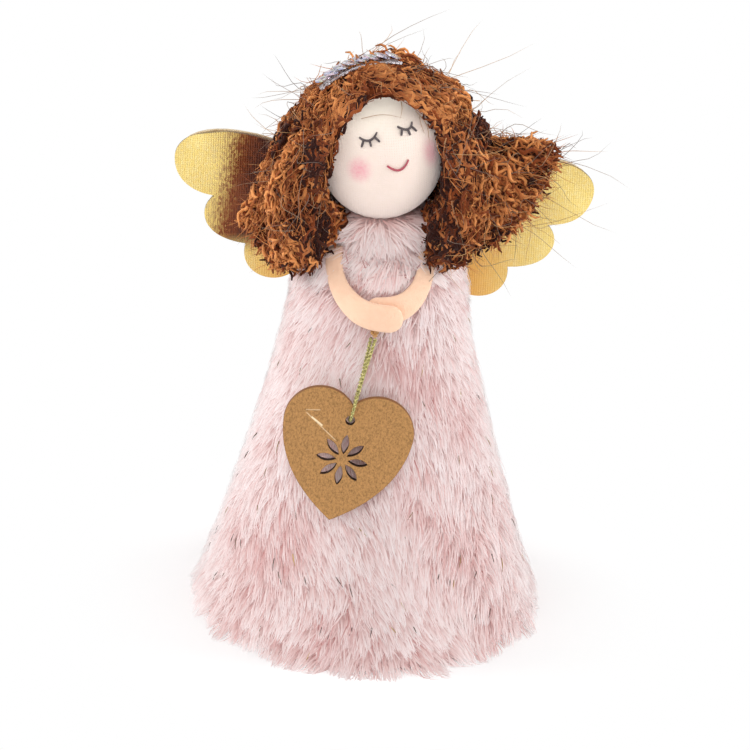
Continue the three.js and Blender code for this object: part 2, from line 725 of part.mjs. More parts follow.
// The plane of the pendant passes clear of the plush at the hole and at the heart's tip.
const HOLE_STANDOFF = turnRadius + CORD_DIAMETER / 2 + GAP;
const TIP_STANDOFF = HEART_THICKNESS / 2 + 2 * GAP;
const HOLE_HEIGHT = KNOT_HEIGHT - HOLE_DROP;
const TIP_HEIGHT = HOLE_HEIGHT + HEART_TIP;
const planeOut = (height, standoff) => skirtRadius(height) + standoff;
const PLANE_LEAN = Math.atan(
  (planeOut(TIP_HEIGHT, TIP_STANDOFF) - planeOut(HOLE_HEIGHT, HOLE_STANDOFF)) / (HOLE_HEIGHT - TIP_HEIGHT),
);
const KNOT_Y = Math.tan(PLANE_LEAN) * HOLE_DROP - planeOut(HOLE_HEIGHT, HOLE_STANDOFF);

function cordKnot() {
  return new THREE.SphereGeometry(KNOT_RADIUS, 12, 8);
}

// The doubled cord in the pendant's plane: down in front, through the heart's hole and up behind.
function pendantCord() {
  const along = new THREE.Vector3(Math.sin(rad(CORD_LEAN_DEG)), Math.cos(rad(CORD_LEAN_DEG)), 0);
  const across = new THREE.Vector3(along.y, -along.x, 0);
  const hole = along.clone().multiplyScalar(-CORD_DROP);
  const end = CORD_DROP - KNOT_RADIUS - GAP;
  const apart = CORD_DIAMETER / 2 + GAP / 2;
  const at = (up, out, aside) => hole.clone()
    .addScaledVector(along, up)
    .addScaledVector(across, aside)
    .add(new THREE.Vector3(0, 0, out));
  const turn = 8;
  const front = [[end, 0], [lerp(STRAND_SPLIT, end, 0.5), 0.5], [STRAND_SPLIT, 0.9], [STRAND_SPLIT / 2, 1]];
  const strand = (way) => front.map(([up, split]) => at(
    up,
    way * turnRadius * split,
    way * apart * (1 - split),
  ));
  const bottom = Array.from({ length: turn + 1 }, (_, step) => {
    const angle = (step / turn) * Math.PI;
    return at(turnRadius * (1 - Math.sin(angle)) - GAP / 2, turnRadius * Math.cos(angle), 0);
  });
  const route = through([...strand(1), ...bottom, ...strand(-1).reverse()]);
  const round = new THREE.Shape().absarc(0, 0, CORD_DIAMETER / 2, 0, 2 * Math.PI);
  return new THREE.ExtrudeGeometry(round, {
    steps: CORD_STEPS,
    extrudePath: route,
    curveSegments: TUBE_SIDES / 2,
  });
}

function petal(turn) {
  const point = (radius, aside) => new THREE.Vector2(radius, aside).rotateAround(new THREE.Vector2(), turn);
  const middle = lerp(PETAL_START, PETAL_END, PETAL_WIDEST);
  const hole = new THREE.Path();
  const [start, end] = [point(PETAL_START, 0), point(PETAL_END, 0)];
  const [one, other] = [point(middle, PETAL_WIDTH), point(middle, -PETAL_WIDTH)];
  hole.moveTo(start.x, start.y - FLOWER_BELOW_HOLE);
  hole.quadraticCurveTo(one.x, one.y - FLOWER_BELOW_HOLE, end.x, end.y - FLOWER_BELOW_HOLE);
  hole.quadraticCurveTo(other.x, other.y - FLOWER_BELOW_HOLE, start.x, start.y - FLOWER_BELOW_HOLE);
  return hole;
}

// The heart with its hole at the origin, its tip down and its front at +Z.
function woodenHeart() {
  const centre = [HEART_WIDTH / 2 - LOBE_RADIUS, HOLE_BELOW_NOTCH - NOTCH_RISE];
  const end = rad(LOBE_END_DEG);
  const notch = Math.atan2(NOTCH_RISE, -centre[0]);
  const side = [
    centre[0] + LOBE_RADIUS * Math.cos(end) + HEART_SIDE_BOW * Math.sin(end),
    centre[1] + LOBE_RADIUS * Math.sin(end) - HEART_SIDE_BOW * Math.cos(end),
  ];
  const outline = new THREE.Shape();
  outline.moveTo(0, HEART_TIP);
  outline.quadraticCurveTo(
    side[0],
    side[1],
    centre[0] + LOBE_RADIUS * Math.cos(end),
    centre[1] + LOBE_RADIUS * Math.sin(end),
  );
  outline.absarc(centre[0], centre[1], LOBE_RADIUS, end, notch);
  outline.absarc(-centre[0], centre[1], LOBE_RADIUS, Math.PI - notch, Math.PI - end);
  outline.quadraticCurveTo(-side[0], side[1], 0, HEART_TIP);
  outline.holes.push(new THREE.Path().absarc(0, 0, HOLE_RADIUS, 0, 2 * Math.PI, true));
  for (let index = 0; index < PETAL_COUNT; index += 1) {
    outline.holes.push(petal(Math.PI / 2 + (index / PETAL_COUNT) * 2 * Math.PI));
  }
  const geometry = new THREE.ExtrudeGeometry(outline, {
    depth: HEART_THICKNESS,
    bevelEnabled: false,
    curveSegments: CURVE_SEGMENTS,
  });
  return geometry.translate(0, 0, -HEART_THICKNESS / 2);
}

// Assembly

const plush = () => new THREE.MeshStandardMaterial({ color: 0xe3c6cb, roughness: 1, metalness: 0 });
const card = () => new THREE.MeshStandardMaterial({ color: 0xb9a083, roughness: 0.9, metalness: 0 });
const foam = () => new THREE.MeshStandardMaterial({ color: 0xf2f0ea, roughness: 0.95, metalness: 0 });
const wood = () => new THREE.MeshStandardMaterial({ color: 0xb28a4e, roughness: 0.7, metalness: 0 });
const cloth = () => new THREE.MeshStandardMaterial({ color: 0xf6e6d4, roughness: 0.95, metalness: 0 });
const darkThread = () => new THREE.MeshStandardMaterial({ color: 0x4a4546, roughness: 0.9, metalness: 0 });
const redThread = () => new THREE.MeshStandardMaterial({ color: 0xb8434e, roughness: 0.9, metalness: 0 });
const yarn = () => new THREE.MeshStandardMaterial({ color: 0x7a3f1f, roughness: 1, metalness: 0 });
const silver = () => new THREE.MeshStandardMaterial({ color: 0xd5d7de, roughness: 0.2, metalness: 0.9 });
const lame = () => new THREE.MeshStandardMaterial({ color: 0xd9a941, roughness: 0.35, metalness: 0.8 });
const felt = () => new THREE.MeshStandardMaterial({ color: 0xf6d3b3, roughness: 1, metalness: 0 });
const glue = () => new THREE.MeshStandardMaterial({ color: 0xe9e4d4, roughness: 0.4, metalness: 0 });
const goldCord = () => new THREE.MeshStandardMaterial({ color: 0xb3933f, roughness: 0.4, metalness: 0.6 });

const angel = new THREE.Group();

function piece(name, shape, material, parent = angel) {
  const geometry = shape.isBufferGeometry ? shape : toGeometry(shape);
  const mesh = new THREE.Mesh(geometry, material);
  mesh.name = name;
  parent.add(mesh);
  return mesh;
}

piece('card_cone', cardCone(), card());
piece('fur_skirt', plushSkirt(), plush());
piece('fur_collar', plushCollar(), plush());
piece('shoulder_plug', shoulderPlug(), foam());
const pegBottom = CONE_TOP_HEIGHT - SPIGOT_LENGTH;
piece('neck_peg', post(PEG_RADIUS, pegBottom, pegBottom + PEG_LENGTH), wood());
piece('head_core', headCore(), foam());
piece('face_cover', faceCover(), cloth());

const head = new THREE.Group();
head.position.copy(HEAD_CENTRE);
head.rotation.copy(headTurn);
angel.add(head);
piece('eye_stitch_left', eyeStitch(EYE_AZIMUTH_DEG), darkThread(), head);
piece('eye_stitch_right', eyeStitch(-EYE_AZIMUTH_DEG), darkThread(), head);
const mouth = saggingThread(0, MOUTH_ELEVATION_DEG, MOUTH_HALF_WIDTH_DEG, MOUTH_SAG_DEG);
piece('mouth_stitch', mouth, redThread(), head);

piece('hair_crown', hairCrown(), yarn());
piece('hair_left', leftBunch(), yarn());
piece('hair_right', rightBunch(), yarn());

piece('tiara_ribbon', tiaraRibbon(0), silver());
for (let index = 0; index < SEQUIN_COUNT; index += 1) {
  const disc = piece(`tiara_sequin_${String(index + 1).padStart(2, '0')}`, sequin(), silver());
  disc.applyMatrix4(sequinMatrix(index));
}

const cloths = WING_FRONT + GOLD_CLOTH_THICKNESS;
const backing = cloths + GAP + STIFFENER_THICKNESS;
const goldPanel = new THREE.Mesh(wingPanel(GOLD_CLOTH_THICKNESS, 1), lame());
goldPanel.name = 'wing_cloth';
angel.add(placeWing(goldPanel, cloths));
const stiffener = new THREE.Mesh(wingPanel(STIFFENER_THICKNESS, STIFFENER_INSET_SCALE), card());
stiffener.name = 'wing_stiffener';
angel.add(placeWing(stiffener, backing));
piece('wing_glue', wingGlue(), glue());

piece('arm_left', leftArm(0), felt());
piece('arm_right', rightArm(0), felt());

const pendant = new THREE.Group();
pendant.position.set(KNOT_X, KNOT_Y, KNOT_HEIGHT);
pendant.rotation.x = Math.PI / 2 - PLANE_LEAN;
angel.add(pendant);
piece('cord_knot', cordKnot(), goldCord(), pendant);
piece('pendant_cord', pendantCord(), goldCord(), pendant);
const heart = piece('wooden_heart', woodenHeart(), wood(), pendant);
heart.position.set(HOLE_X - KNOT_X, -HOLE_DROP, 0);
heart.rotation.z = -rad(HEART_LEAN_DEG);

export default angel;
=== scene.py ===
"""Looks of the angel tree topper: plush, yarn hair, cloth face, felt arms, gold wings and wooden heart."""

import json
import math
from contextlib import contextmanager

import bpy
import numpy as np
from bpy.props import FloatProperty, FloatVectorProperty, IntProperty, PointerProperty
from mathutils import Matrix, Quaternion, Vector


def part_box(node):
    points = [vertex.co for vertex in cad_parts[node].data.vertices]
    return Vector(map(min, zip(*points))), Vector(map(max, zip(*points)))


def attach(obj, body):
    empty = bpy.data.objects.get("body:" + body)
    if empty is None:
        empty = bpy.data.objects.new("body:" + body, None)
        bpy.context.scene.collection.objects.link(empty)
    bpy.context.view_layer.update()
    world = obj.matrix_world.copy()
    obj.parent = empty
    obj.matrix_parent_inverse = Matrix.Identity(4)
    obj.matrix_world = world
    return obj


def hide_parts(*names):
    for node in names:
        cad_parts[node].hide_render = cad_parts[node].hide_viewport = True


bl_info = {
    "name": "Angel Tree Topper",
    "version": (1, 0, 0),
    "blender": (4, 5, 0),
    "location": "View3D > Sidebar > Angel",
    "description": "Dresses the packed solids of a plush angel tree topper",
    "category": "Object",
}

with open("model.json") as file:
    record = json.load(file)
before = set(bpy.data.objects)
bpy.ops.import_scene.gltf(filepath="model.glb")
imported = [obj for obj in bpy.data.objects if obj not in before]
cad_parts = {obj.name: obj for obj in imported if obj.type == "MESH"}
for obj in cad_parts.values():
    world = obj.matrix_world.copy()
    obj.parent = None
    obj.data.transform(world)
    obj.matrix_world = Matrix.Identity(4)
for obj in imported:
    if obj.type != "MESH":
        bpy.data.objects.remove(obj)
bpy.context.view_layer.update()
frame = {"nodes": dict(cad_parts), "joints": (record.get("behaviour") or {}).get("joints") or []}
JOINTS = {joint["name"]: joint for joint in frame["joints"]}

# The ways to the doll's left and up, and the factors that leave a vector's level part.
ACROSS = np.array([1.0, 0, 0])
RISE = np.array([0, 0, 1.0])
LEVEL = (1, 1, 0)

# The skirt's outer form, as in the solids, in metres, and the step that its slope is measured over.
HEM_RADIUS = 0.0402
SHOULDER_HEIGHT = 0.084
SHOULDER_RADIUS = 0.0196
FLARE_POWER = 1.25
NECK_HEIGHT = 0.097
NECK_RADIUS = 0.0102
SLOPE_STEP = 1e-5
# The highest place on the skirt's form that pile grows from.
PILE_TOP = 0.0968

# The head's ball and the degrees by which it tips back, leans and turns.
FACE_LOW, FACE_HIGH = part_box("face_cover")
HEAD_RADIUS = (FACE_HIGH.x - FACE_LOW.x) / 2
HEAD_CENTRE = Vector((
    (FACE_LOW.x + FACE_HIGH.x) / 2,
    (FACE_LOW.y + FACE_HIGH.y) / 2,
    FACE_HIGH.z - HEAD_RADIUS,
))
HEAD = np.array(HEAD_CENTRE)
HEAD_TIP, HEAD_LEAN, HEAD_YAW = -25.4, -19, 13.5
HEAD_TURN = (
    Matrix.Rotation(math.radians(HEAD_TIP), 3, "X")
    @ Matrix.Rotation(math.radians(HEAD_LEAN), 3, "Y")
    @ Matrix.Rotation(math.radians(HEAD_YAW), 3, "Z")
)

# Points across each bunch of hair, from the head's centre: root, bend, fall and the curve of the tips.
BUNCHES = {
    "hair_right": (
        ((-0.013, 0.007, 0.009), (-0.013, -0.007, 0.008)),
        ((-0.0182, 0.007, 0.0), (-0.0178, -0.010, -0.003)),
        ((-0.0245, 0.005, -0.014), (-0.019, -0.011, -0.013)),
        ((-0.0295, 0.004, -0.0215), (-0.024, -0.006, -0.029), (-0.017, -0.011, -0.022)),
    ),
    "hair_left": (
        ((0.015, 0.007, 0.005), (0.015, -0.004, 0.007)),
        ((0.022, 0.006, -0.001), (0.0195, -0.008, -0.003)),
        ((0.031, 0.004, -0.0015), (0.0205, -0.010, -0.012)),
        ((0.040, 0.002, 0.0005), (0.037, -0.004, -0.0145), (0.018, -0.010, -0.021)),
    ),
}

# The pendant's plane: the knot, the heart's hole and the way out of the plush.
KNOT = Vector(JOINTS["knot_lift"]["pos_m"])
HOLE = Vector(JOINTS["heart_tilt"]["pos_m"])
PLANE_OUT = Vector(JOINTS["cord_swing"]["axis"]).normalized()
PLANE_UP = PLANE_OUT.cross(Vector((1, 0, 0)))

# The heart's plate and its cuts. The notch is over the hole and the flower is under it.
HEART_LEAN = math.radians(-9)
HEART_WIDTH = 0.031
HEART_HEIGHT = 0.0316
HEART_THICKNESS = 0.002
HEART_EDGE = 0.00014
HEART_NOTCH = 0.0035
LOBE_RADIUS = 0.0087
LOBE_START = math.radians(-5)
SIDE_HANDLE = 0.013
HOLE_RADIUS = 0.0011
FLOWER_DROP = 0.0098
PETALS = 8
PETAL_START, PETAL_END, PETAL_HANDLE = 0.0014, 0.0062, 0.0017
PETAL_WIDEST = 0.55

# A fibre's tone stays clear of the edges of its map and moves a little from one side to the next.
TONE_LOW, TONE_HIGH = 0.02, 0.96
TONE_STEP = 0.006


def srgb(red, green, blue):
    """A linear colour from 0 to 255 screen values."""
    shares = [value / 255 for value in (red, green, blue)]
    return tuple(s / 12.92 if s <= 0.04045 else ((s + 0.055) / 1.055) ** 2.4 for s in shares)


def length(name, default, description):
    return FloatProperty(name=name, description=description, default=default, unit="LENGTH", precision=5)


def degrees(name, default, description):
    return FloatProperty(name=name, description=description, default=math.radians(default), subtype="ANGLE")


def colour(name, default, description):
    return FloatVectorProperty(
        name=name, description=description, default=srgb(*default), subtype="COLOR", size=3, min=0, max=1
    )


def count(name, default, description):
    return IntProperty(name=name, description=description, default=default, min=1)


class PlushSettings(bpy.types.PropertyGroup):
    """The pink plush of the skirt and the collar."""

    pile: length("Pile length", 0.0068, "Length of one fibre of the pile")
    depth: length("Pile depth", 0.0010, "How far the undercoat lies under the skirt's outer form")
    fibre: length("Fibre radius", 0.00020, "Half the width of one fibre at its root")
    tufts: count("Tufts", 5000, "Tufts on the skirt")
    per_tuft: count("Fibres in a tuft", 9, "Fibres that lean together at their tips")
    collar_tufts: count("Collar tufts", 700, "Tufts on the collar")
    bib_tufts: count("Bib tufts", 260, "Longer tufts between the arms")
    flecks: count("Flecks", 150, "Short glinting fibres among the pile")
    root: colour("Root", (202, 152, 149), "Colour deep in the pile")
    middle: colour("Middle", (231, 207, 205), "Colour half way up the pile")
    tip: colour("Tip", (250, 243, 243), "Colour of the fibres' ends")


class HairSettings(bpy.types.PropertyGroup):
    """The curly yarn hair."""

    thickness: length("Yarn radius", 0.00039, "Radius of one curl of yarn")
    curl: length("Curl length", 0.0092, "Length of one curl from end to end")
    swing: FloatProperty(name="Curl swing", description="How far a curl turns off its line", default=1.25)
    crown_curls: count("Crown curls", 2600, "Curls on each half of the crown")
    bunch_curls: count("Bunch curls", 2500, "Curls on each bunch")
    nape_curls: count("Nape curls", 420, "Curls beside the neck")
    wisps: count("Wisps", 2600, "Fine fibres over the curls")
    strays: count("Stray hairs", 420, "Fine hairs that stand out")
    # The dark colour is painted shade in the gaps between curls, and the light colour is a painted highlight.
    dark: colour("Dark", (46, 14, 6), "Yarn in the gaps")
    middle: colour("Middle", (140, 68, 30), "Yarn's main colour")
    light: colour("Light", (226, 150, 88), "Yarn that catches the light")


class FaceSettings(bpy.types.PropertyGroup):
    """The cloth head and its stitched face."""

    cloth: colour("Cloth", (250, 231, 221), "Knit cloth over the head")
    blush: colour("Blush", (240, 150, 166), "Rouge on the cheeks")
    blush_radius: length("Blush radius", 0.0042, "Reach of the rouge")
    thread: length("Thread radius", 0.0003, "Radius of the stitched lines")
    eye: colour("Eye thread", (78, 68, 70), "Closed lids and lashes")
    mouth: colour("Mouth thread", (196, 74, 92), "Smile")


class ClothSettings(bpy.types.PropertyGroup):
    """The felt arms and the gold cloth of the wings."""

    felt: colour("Felt", (252, 214, 186), "Felt of the arms")
    gold: colour("Gold", (252, 224, 132), "Gold cloth")
    # A painted reflection of the hair in the gold cloth.
    mirrored_hair: colour("Bronze", (134, 66, 20), "Gold cloth where it mirrors the hair")
    # Painted shade in the gold cloth, near the body.
    body_shade: colour("Amber", (242, 178, 82), "Gold cloth low down, near the body")
    weave: length("Weave", 0.00055, "Pitch of the gold cloth's threads")


class PendantSettings(bpy.types.PropertyGroup):
    """The wooden heart on its doubled cord."""

    wood: colour("Wood", (176, 130, 78), "Face of the heart")
    burnt: colour("Burnt edge", (58, 36, 24), "Cut edges of the heart")
    cord: colour("Cord", (216, 206, 136), "Gold thread of the cord")
    cord_shade: colour("Cord shade", (108, 102, 50), "Olive thread of the cord")
    cord_diameter: length("Cord diameter", 0.00084, "Diameter of the cord")
    cord_lay: length("Cord lay", 0.0019, "Length of one twist of the cord")


class StageSettings(bpy.types.PropertyGroup):
    """The camera and the floor."""

    distance: length("Camera distance", 1.8, "From the camera to the point it looks at")
    aim: length("Aim height", 0.060, "Height of the point that the camera looks at")
    elevation: degrees("Elevation", 27, "Angle of the camera above the floor")
    roll: degrees("Roll", 2.7, "Turn of the camera about its own axis")
    lens: FloatProperty(
        name="Lens", description="Focal length on a 36 mm sensor", default=363.1, unit="CAMERA"
    )
    floor: colour("Floor", (250, 249, 249), "Floor and backdrop")


SETTINGS = {
    "angel_plush": PlushSettings,
    "angel_hair": HairSettings,
    "angel_face": FaceSettings,
    "angel_cloth": ClothSettings,
    "angel_pendant": PendantSettings,
    "angel_stage": StageSettings,
}


# Points and fields


def unit(vectors):
    return vectors / np.maximum(np.linalg.norm(vectors, axis=-1, keepdims=True), 1e-12)


def dot(vectors, ways):
    """How far each vector goes along its way, as a column."""
    return (vectors * ways).sum(-1, keepdims=True)


def ripple(points, size, seed):
    """Smooth noise of about -1 to 1 over the points, with lumps of about the given size."""
    waves = 7
    rng = np.random.default_rng(seed)
    ways = unit(rng.normal(size=(waves, 3))) * (math.pi / size * rng.uniform(0.6, 1.4, (waves, 1)))
    return np.sin(points @ ways.T + rng.uniform(0, 2 * math.pi, waves)).sum(-1) / math.sqrt(waves)


def skirt_radius(height):
    height = np.asarray(height, float)
    flare = np.maximum(1 - height / SHOULDER_HEIGHT, 0) ** FLARE_POWER
    skirt = SHOULDER_RADIUS + (HEM_RADIUS - SHOULDER_RADIUS) * flare
    rise = np.clip((height - SHOULDER_HEIGHT) / (NECK_HEIGHT - SHOULDER_HEIGHT), 0, 1)
    shoulder = NECK_RADIUS + (SHOULDER_RADIUS - NECK_RADIUS) * np.sqrt(1 - rise**2)
    return np.where(height <= SHOULDER_HEIGHT, skirt, shoulder)


def skirt_slope(height):
    return (skirt_radius(height + SLOPE_STEP) - skirt_radius(height - SLOPE_STEP)) / (2 * SLOPE_STEP)


def smooth(edge0, edge1, value):
    share = np.clip((value - edge0) / (edge1 - edge0), 0, 1)
    return share * share * (3 - 2 * share)


def path_run(path):
    """How far along a path each of its points lies."""
    return np.concatenate([[0], np.cumsum(np.linalg.norm(np.diff(path, axis=0), axis=1))])


def bow(first, handle, last, share):
    """A point along a curve with one handle."""
    a, b, c = (1 - share) ** 2, 2 * share * (1 - share), share**2
    return tuple(a * p + b * q + c * r for p, q, r in zip(first, handle, last))


def spline(points, steps):
    """Points evenly along a smooth line through the given ones."""
    points = np.asarray(points, float)
    ends = np.vstack([2 * points[0] - points[1], points, 2 * points[-1] - points[-2]])
    fine = []
    for index in range(len(points) - 1):
        p0, p1, p2, p3 = ends[index : index + 4]
        gap = np.sqrt(np.linalg.norm(np.diff(ends[index : index + 4], axis=0), axis=1))
        t0, t1, t2, t3 = np.concatenate([[0], np.cumsum(np.maximum(gap, 1e-9))])
        t = np.linspace(t1, t2, 24, endpoint=index == len(points) - 2)[:, None]
        a1 = (t1 - t) / (t1 - t0) * p0 + (t - t0) / (t1 - t0) * p1
        a2 = (t2 - t) / (t2 - t1) * p1 + (t - t1) / (t2 - t1) * p2
        a3 = (t3 - t) / (t3 - t2) * p2 + (t - t2) / (t3 - t2) * p3
        b1 = (t2 - t) / (t2 - t0) * a1 + (t - t0) / (t2 - t0) * a2
        b2 = (t3 - t) / (t3 - t1) * a2 + (t - t1) / (t3 - t1) * a3
        fine.append((t2 - t) / (t2 - t1) * b1 + (t - t1) / (t2 - t1) * b2)
    fine = np.vstack(fine)
    run = path_run(fine)
    even = np.linspace(0, run[-1], steps)
    return np.stack([np.interp(even, run, fine[:, axis]) for axis in range(3)], axis=1)


def on_head(radius, azimuth, elevation):
    """A point over the head, by azimuth to the doll's left and elevation, in degrees."""
    a, e = math.radians(azimuth), math.radians(elevation)
    way = Vector((math.cos(e) * math.sin(a), -math.cos(e) * math.cos(a), math.sin(e)))
    return HEAD_CENTRE + HEAD_TURN @ (way * radius)


def in_head(points):
    """Points in the head's own frame."""
    return (points - HEAD) @ np.array(HEAD_TURN)


def enters_head(paths, clearance):
    """Which paths come nearer to the head's ball than the clearance."""
    return np.linalg.norm(paths - HEAD, axis=-1).min(1) < HEAD_RADIUS + clearance


def clip_tones(tones):
    return np.clip(tones, TONE_LOW, TONE_HIGH)


def even_slices(number, limit):
    """Even slices of a number of things, with no more than the limit in each."""
    parts = max(1, math.ceil(number / limit))
    return [slice(index * number // parts, (index + 1) * number // parts) for index in range(parts)]


# Meshes

# How thick a fibre of the pile is against its width.
FIBRE_FLATNESS = 0.4
# How far the shading of a fibre follows its own sides and its own tip, and not the cloth.
SIDE_SHADING, TIP_SHADING = 0.2, 0.3
# Points of a solid nearer than this are one point.
NODE_MERGE = 1e-5


def deselect():
    if bpy.context.mode != "OBJECT":
        bpy.ops.object.mode_set(mode="OBJECT")
    bpy.ops.object.select_all(action="DESELECT")


def pick(piece):
    deselect()
    piece.select_set(True)
    bpy.context.view_layer.objects.active = piece


@contextmanager
def edited(piece):
    """Edit mode, with the whole of a piece selected."""
    pick(piece)
    bpy.ops.object.mode_set(mode="EDIT")
    bpy.ops.mesh.select_all(action="SELECT")
    yield
    bpy.ops.object.mode_set(mode="OBJECT")


def new_object(name, data):
    made = bpy.data.objects.new(name, data)
    bpy.context.scene.collection.objects.link(made)
    return made


def node_copy(name, node):
    """A copy of a solid, to be dressed as a piece of its own."""
    return new_object(name, frame["nodes"][node].data.copy())


def mesh_points(mesh):
    points = np.empty(len(mesh.vertices) * 3, np.float32)
    mesh.vertices.foreach_get("co", points)
    return points.reshape(-1, 3).astype(float)


def set_mesh_points(mesh, points):
    mesh.vertices.foreach_set("co", points.astype(np.float32).ravel())
    mesh.update()


def new_piece(name, points, faces, uv=None, normals=None):
    """A smooth mesh object. Each entry of faces is an array with one row of corners for each face."""
    mesh = bpy.data.meshes.new(name)
    corners = np.concatenate([rows.ravel() for rows in faces]).astype(np.int32)
    sizes = np.concatenate([np.full(len(rows), rows.shape[1]) for rows in faces])
    starts = np.concatenate([[0], np.cumsum(sizes)[:-1]]).astype(np.int32)
    mesh.vertices.add(len(points))
    mesh.vertices.foreach_set("co", points.astype(np.float32).ravel())
    mesh.loops.add(len(corners))
    mesh.loops.foreach_set("vertex_index", corners)
    mesh.polygons.add(len(starts))
    mesh.polygons.foreach_set("loop_start", starts)
    mesh.update(calc_edges=True)
    if uv is not None:
        layer = mesh.uv_layers.new(name="OFBake")
        layer.data.foreach_set("uv", uv[corners].astype(np.float32).ravel())
    mesh.shade_smooth()
    if normals is not None:
        mesh.normals_split_custom_set_from_vertices(normals.astype(np.float32))
    return new_object(name, mesh)


def wall_faces(rows, sides):
    """The faces between neighbouring rings of points."""
    here, there = np.arange(sides), (np.arange(sides) + 1) % sides
    row = (np.arange(rows - 1) * sides)[:, None]
    return np.stack([row + here, row + there, row + sides + there, row + sides + here], -1).reshape(-1, 4)


def tubes(paths, radii, sides, tones, pointed=True, cloth=None):
    """Closed tubes along paths of shape (tube, point, 3). Their map holds the tone and the place along.

    With the ways out of the cloth under them, they lie flat and are shaded softly, as one pile."""
    number, steps, _ = paths.shape
    ahead = unit(np.gradient(paths, axis=1))
    normal = np.cross(ahead[:, 0], np.where(np.abs(ahead[:, :1, 2]) < 0.9, RISE[None], ACROSS[None]))
    if cloth is not None:
        normal = cloth
    normals = np.empty_like(paths)
    for step in range(steps):
        normal = unit(normal - dot(normal, ahead[:, step]) * ahead[:, step])
        normals[:, step] = normal
    sideways = np.cross(ahead, normals)
    turn = np.arange(sides) * (2 * math.pi / sides)
    flat = 1.0 if cloth is None else FIBRE_FLATNESS
    across = normals[:, :, None] * (flat * np.cos(turn))[:, None]
    across = across + sideways[:, :, None] * np.sin(turn)[:, None]
    rings = paths[:, :, None] + radii[:, :, None, None] * across
    full = steps - 1 if pointed else steps
    shape = rings[:, :full].reshape(number, full * sides, 3)
    u = np.broadcast_to(tones[:, None, None] + TONE_STEP * np.arange(sides), (number, full, sides))
    v = np.broadcast_to(np.linspace(0, 1, steps)[:full, None], (number, full, sides))
    uv = np.stack([u, v], -1).reshape(number, full * sides, 2)
    if pointed:
        shape = np.concatenate([shape, paths[:, -1:]], 1)
        uv = np.concatenate([uv, np.stack([tones, np.ones(number)], -1)[:, None]], 1)
    first = (np.arange(number) * shape.shape[1])[:, None, None]
    here, there = np.arange(sides), (np.arange(sides) + 1) % sides
    faces = [(first + wall_faces(full, sides)).reshape(-1, 4), (first[:, 0] + here[::-1]).reshape(-1, sides)]
    last = (full - 1) * sides
    if pointed:
        tip = np.stack([last + here, last + there, np.full(sides, full * sides)], -1)
        faces.append((first + tip[None]).reshape(-1, 3))
    else:
        faces.append((first[:, 0] + last + here).reshape(-1, sides))
    if cloth is None:
        return shape.reshape(-1, 3), faces, uv.reshape(-1, 2)
    normals = across[:, :full].reshape(number, full * sides, 3) * SIDE_SHADING
    if pointed:
        normals = np.concatenate([normals, ahead[:, -1:] * TIP_SHADING], 1)
    normals = unit(normals + cloth[:, None])
    return shape.reshape(-1, 3), faces, uv.reshape(-1, 2), normals.reshape(-1, 3)


def turned_shell(name, profile, segments):
    """A closed shell of revolution, drawn ring by ring from a circle. The profile ends where it starts."""
    deselect()
    radius, height = profile[0]
    bpy.ops.mesh.primitive_circle_add(vertices=segments, radius=radius, location=(0, 0, height))
    piece = bpy.context.object
    bpy.ops.object.transform_apply(location=True, rotation=True, scale=True)
    with edited(piece):
        for next_radius, next_height in profile[1:]:
            bpy.ops.mesh.extrude_region_move(TRANSFORM_OT_translate={"value": (0, 0, next_height - height)})
            share = next_radius / radius
            bpy.ops.transform.resize(value=(share, share, 1), center_override=(0, 0, next_height))
            radius, height = next_radius, next_height
        bpy.ops.mesh.select_all(action="SELECT")
        bpy.ops.mesh.remove_doubles(threshold=1e-6)
        bpy.ops.mesh.normals_make_consistent(inside=False)
    bpy.ops.object.shade_smooth()
    piece.name = piece.data.name = name
    return piece


def flat_curve(name, outlines, half_thickness, edge):
    """A flat plate with rounded edges from closed outlines, as a mesh about the origin."""
    curve = bpy.data.curves.new(name, "CURVE")
    curve.dimensions = "2D"
    curve.fill_mode = "BOTH"
    curve.extrude = half_thickness - edge
    curve.bevel_depth = edge
    curve.bevel_resolution = 1
    curve.offset = -edge
    for outline in outlines:
        line = curve.splines.new("POLY")
        line.points.add(len(outline) - 1)
        line.points.foreach_set("co", np.array([(x, y, 0, 1) for x, y in outline]).ravel())
        line.use_cyclic_u = True
    pick(new_object(name, curve))
    bpy.ops.object.convert(target="MESH")
    piece = bpy.context.object
    with edited(piece):
        bpy.ops.mesh.remove_doubles(threshold=1e-7)
        bpy.ops.mesh.normals_make_consistent(inside=False)
    return piece


def finish_piece(piece, finish, body, slot, *nodes):
    """Dresses a piece, lets it ride on its body and hides the solids that it stands for."""
    piece.data.materials.clear()
    piece.data.materials.append(finish)
    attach(piece, body)
    if nodes:
        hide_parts(*nodes)


def dress_node(name, finish):
    """Gives a solid that shows as it is a better finish."""
    mesh = frame["nodes"][name].data
    mesh.materials.clear()
    mesh.materials.append(finish)


# Finishes

# Where the gold cloth is painted with a dark reflection of the hair, on the doll's right: inside a slanting
# line and above a level one.
HAIR_MIRROR_TOP = 0.1127
HAIR_MIRROR_SLANT = 0.154
HAIR_MIRROR_REACH = 0.0338
HAIR_MIRROR_LOW = (0.081, 0.087)
HAIR_MIRROR_RIGHT = (-0.010, -0.016)
HAIR_MIRROR_EDGE, HAIR_MIRROR_DEEP = (-0.006, 0.001), (-0.001, 0.007)
HAIR_MIRROR_FRAY = 0.004
# Where the gold cloth is painted with shade, warmer and darker: near the body and low down.
BODY_SHADE_ACROSS, BODY_SHADE_HEIGHT = (0.036, 0.020), (0.100, 0.082)
BODY_SHADE_STRENGTH = 0.75

# Pale scratches on the heart: both ends across and up from its hole, half the width, and the strength.
SCRATCHES = (
    ((-0.0093, -0.0008), (-0.0060, -0.0026), 0.00030, 1.0),
    ((-0.0109, 0.0002), (-0.0021, -0.0056), 0.00018, 0.5),
    ((-0.0109, 0.0005), (-0.0072, 0.0012), 0.00018, 0.4),
)


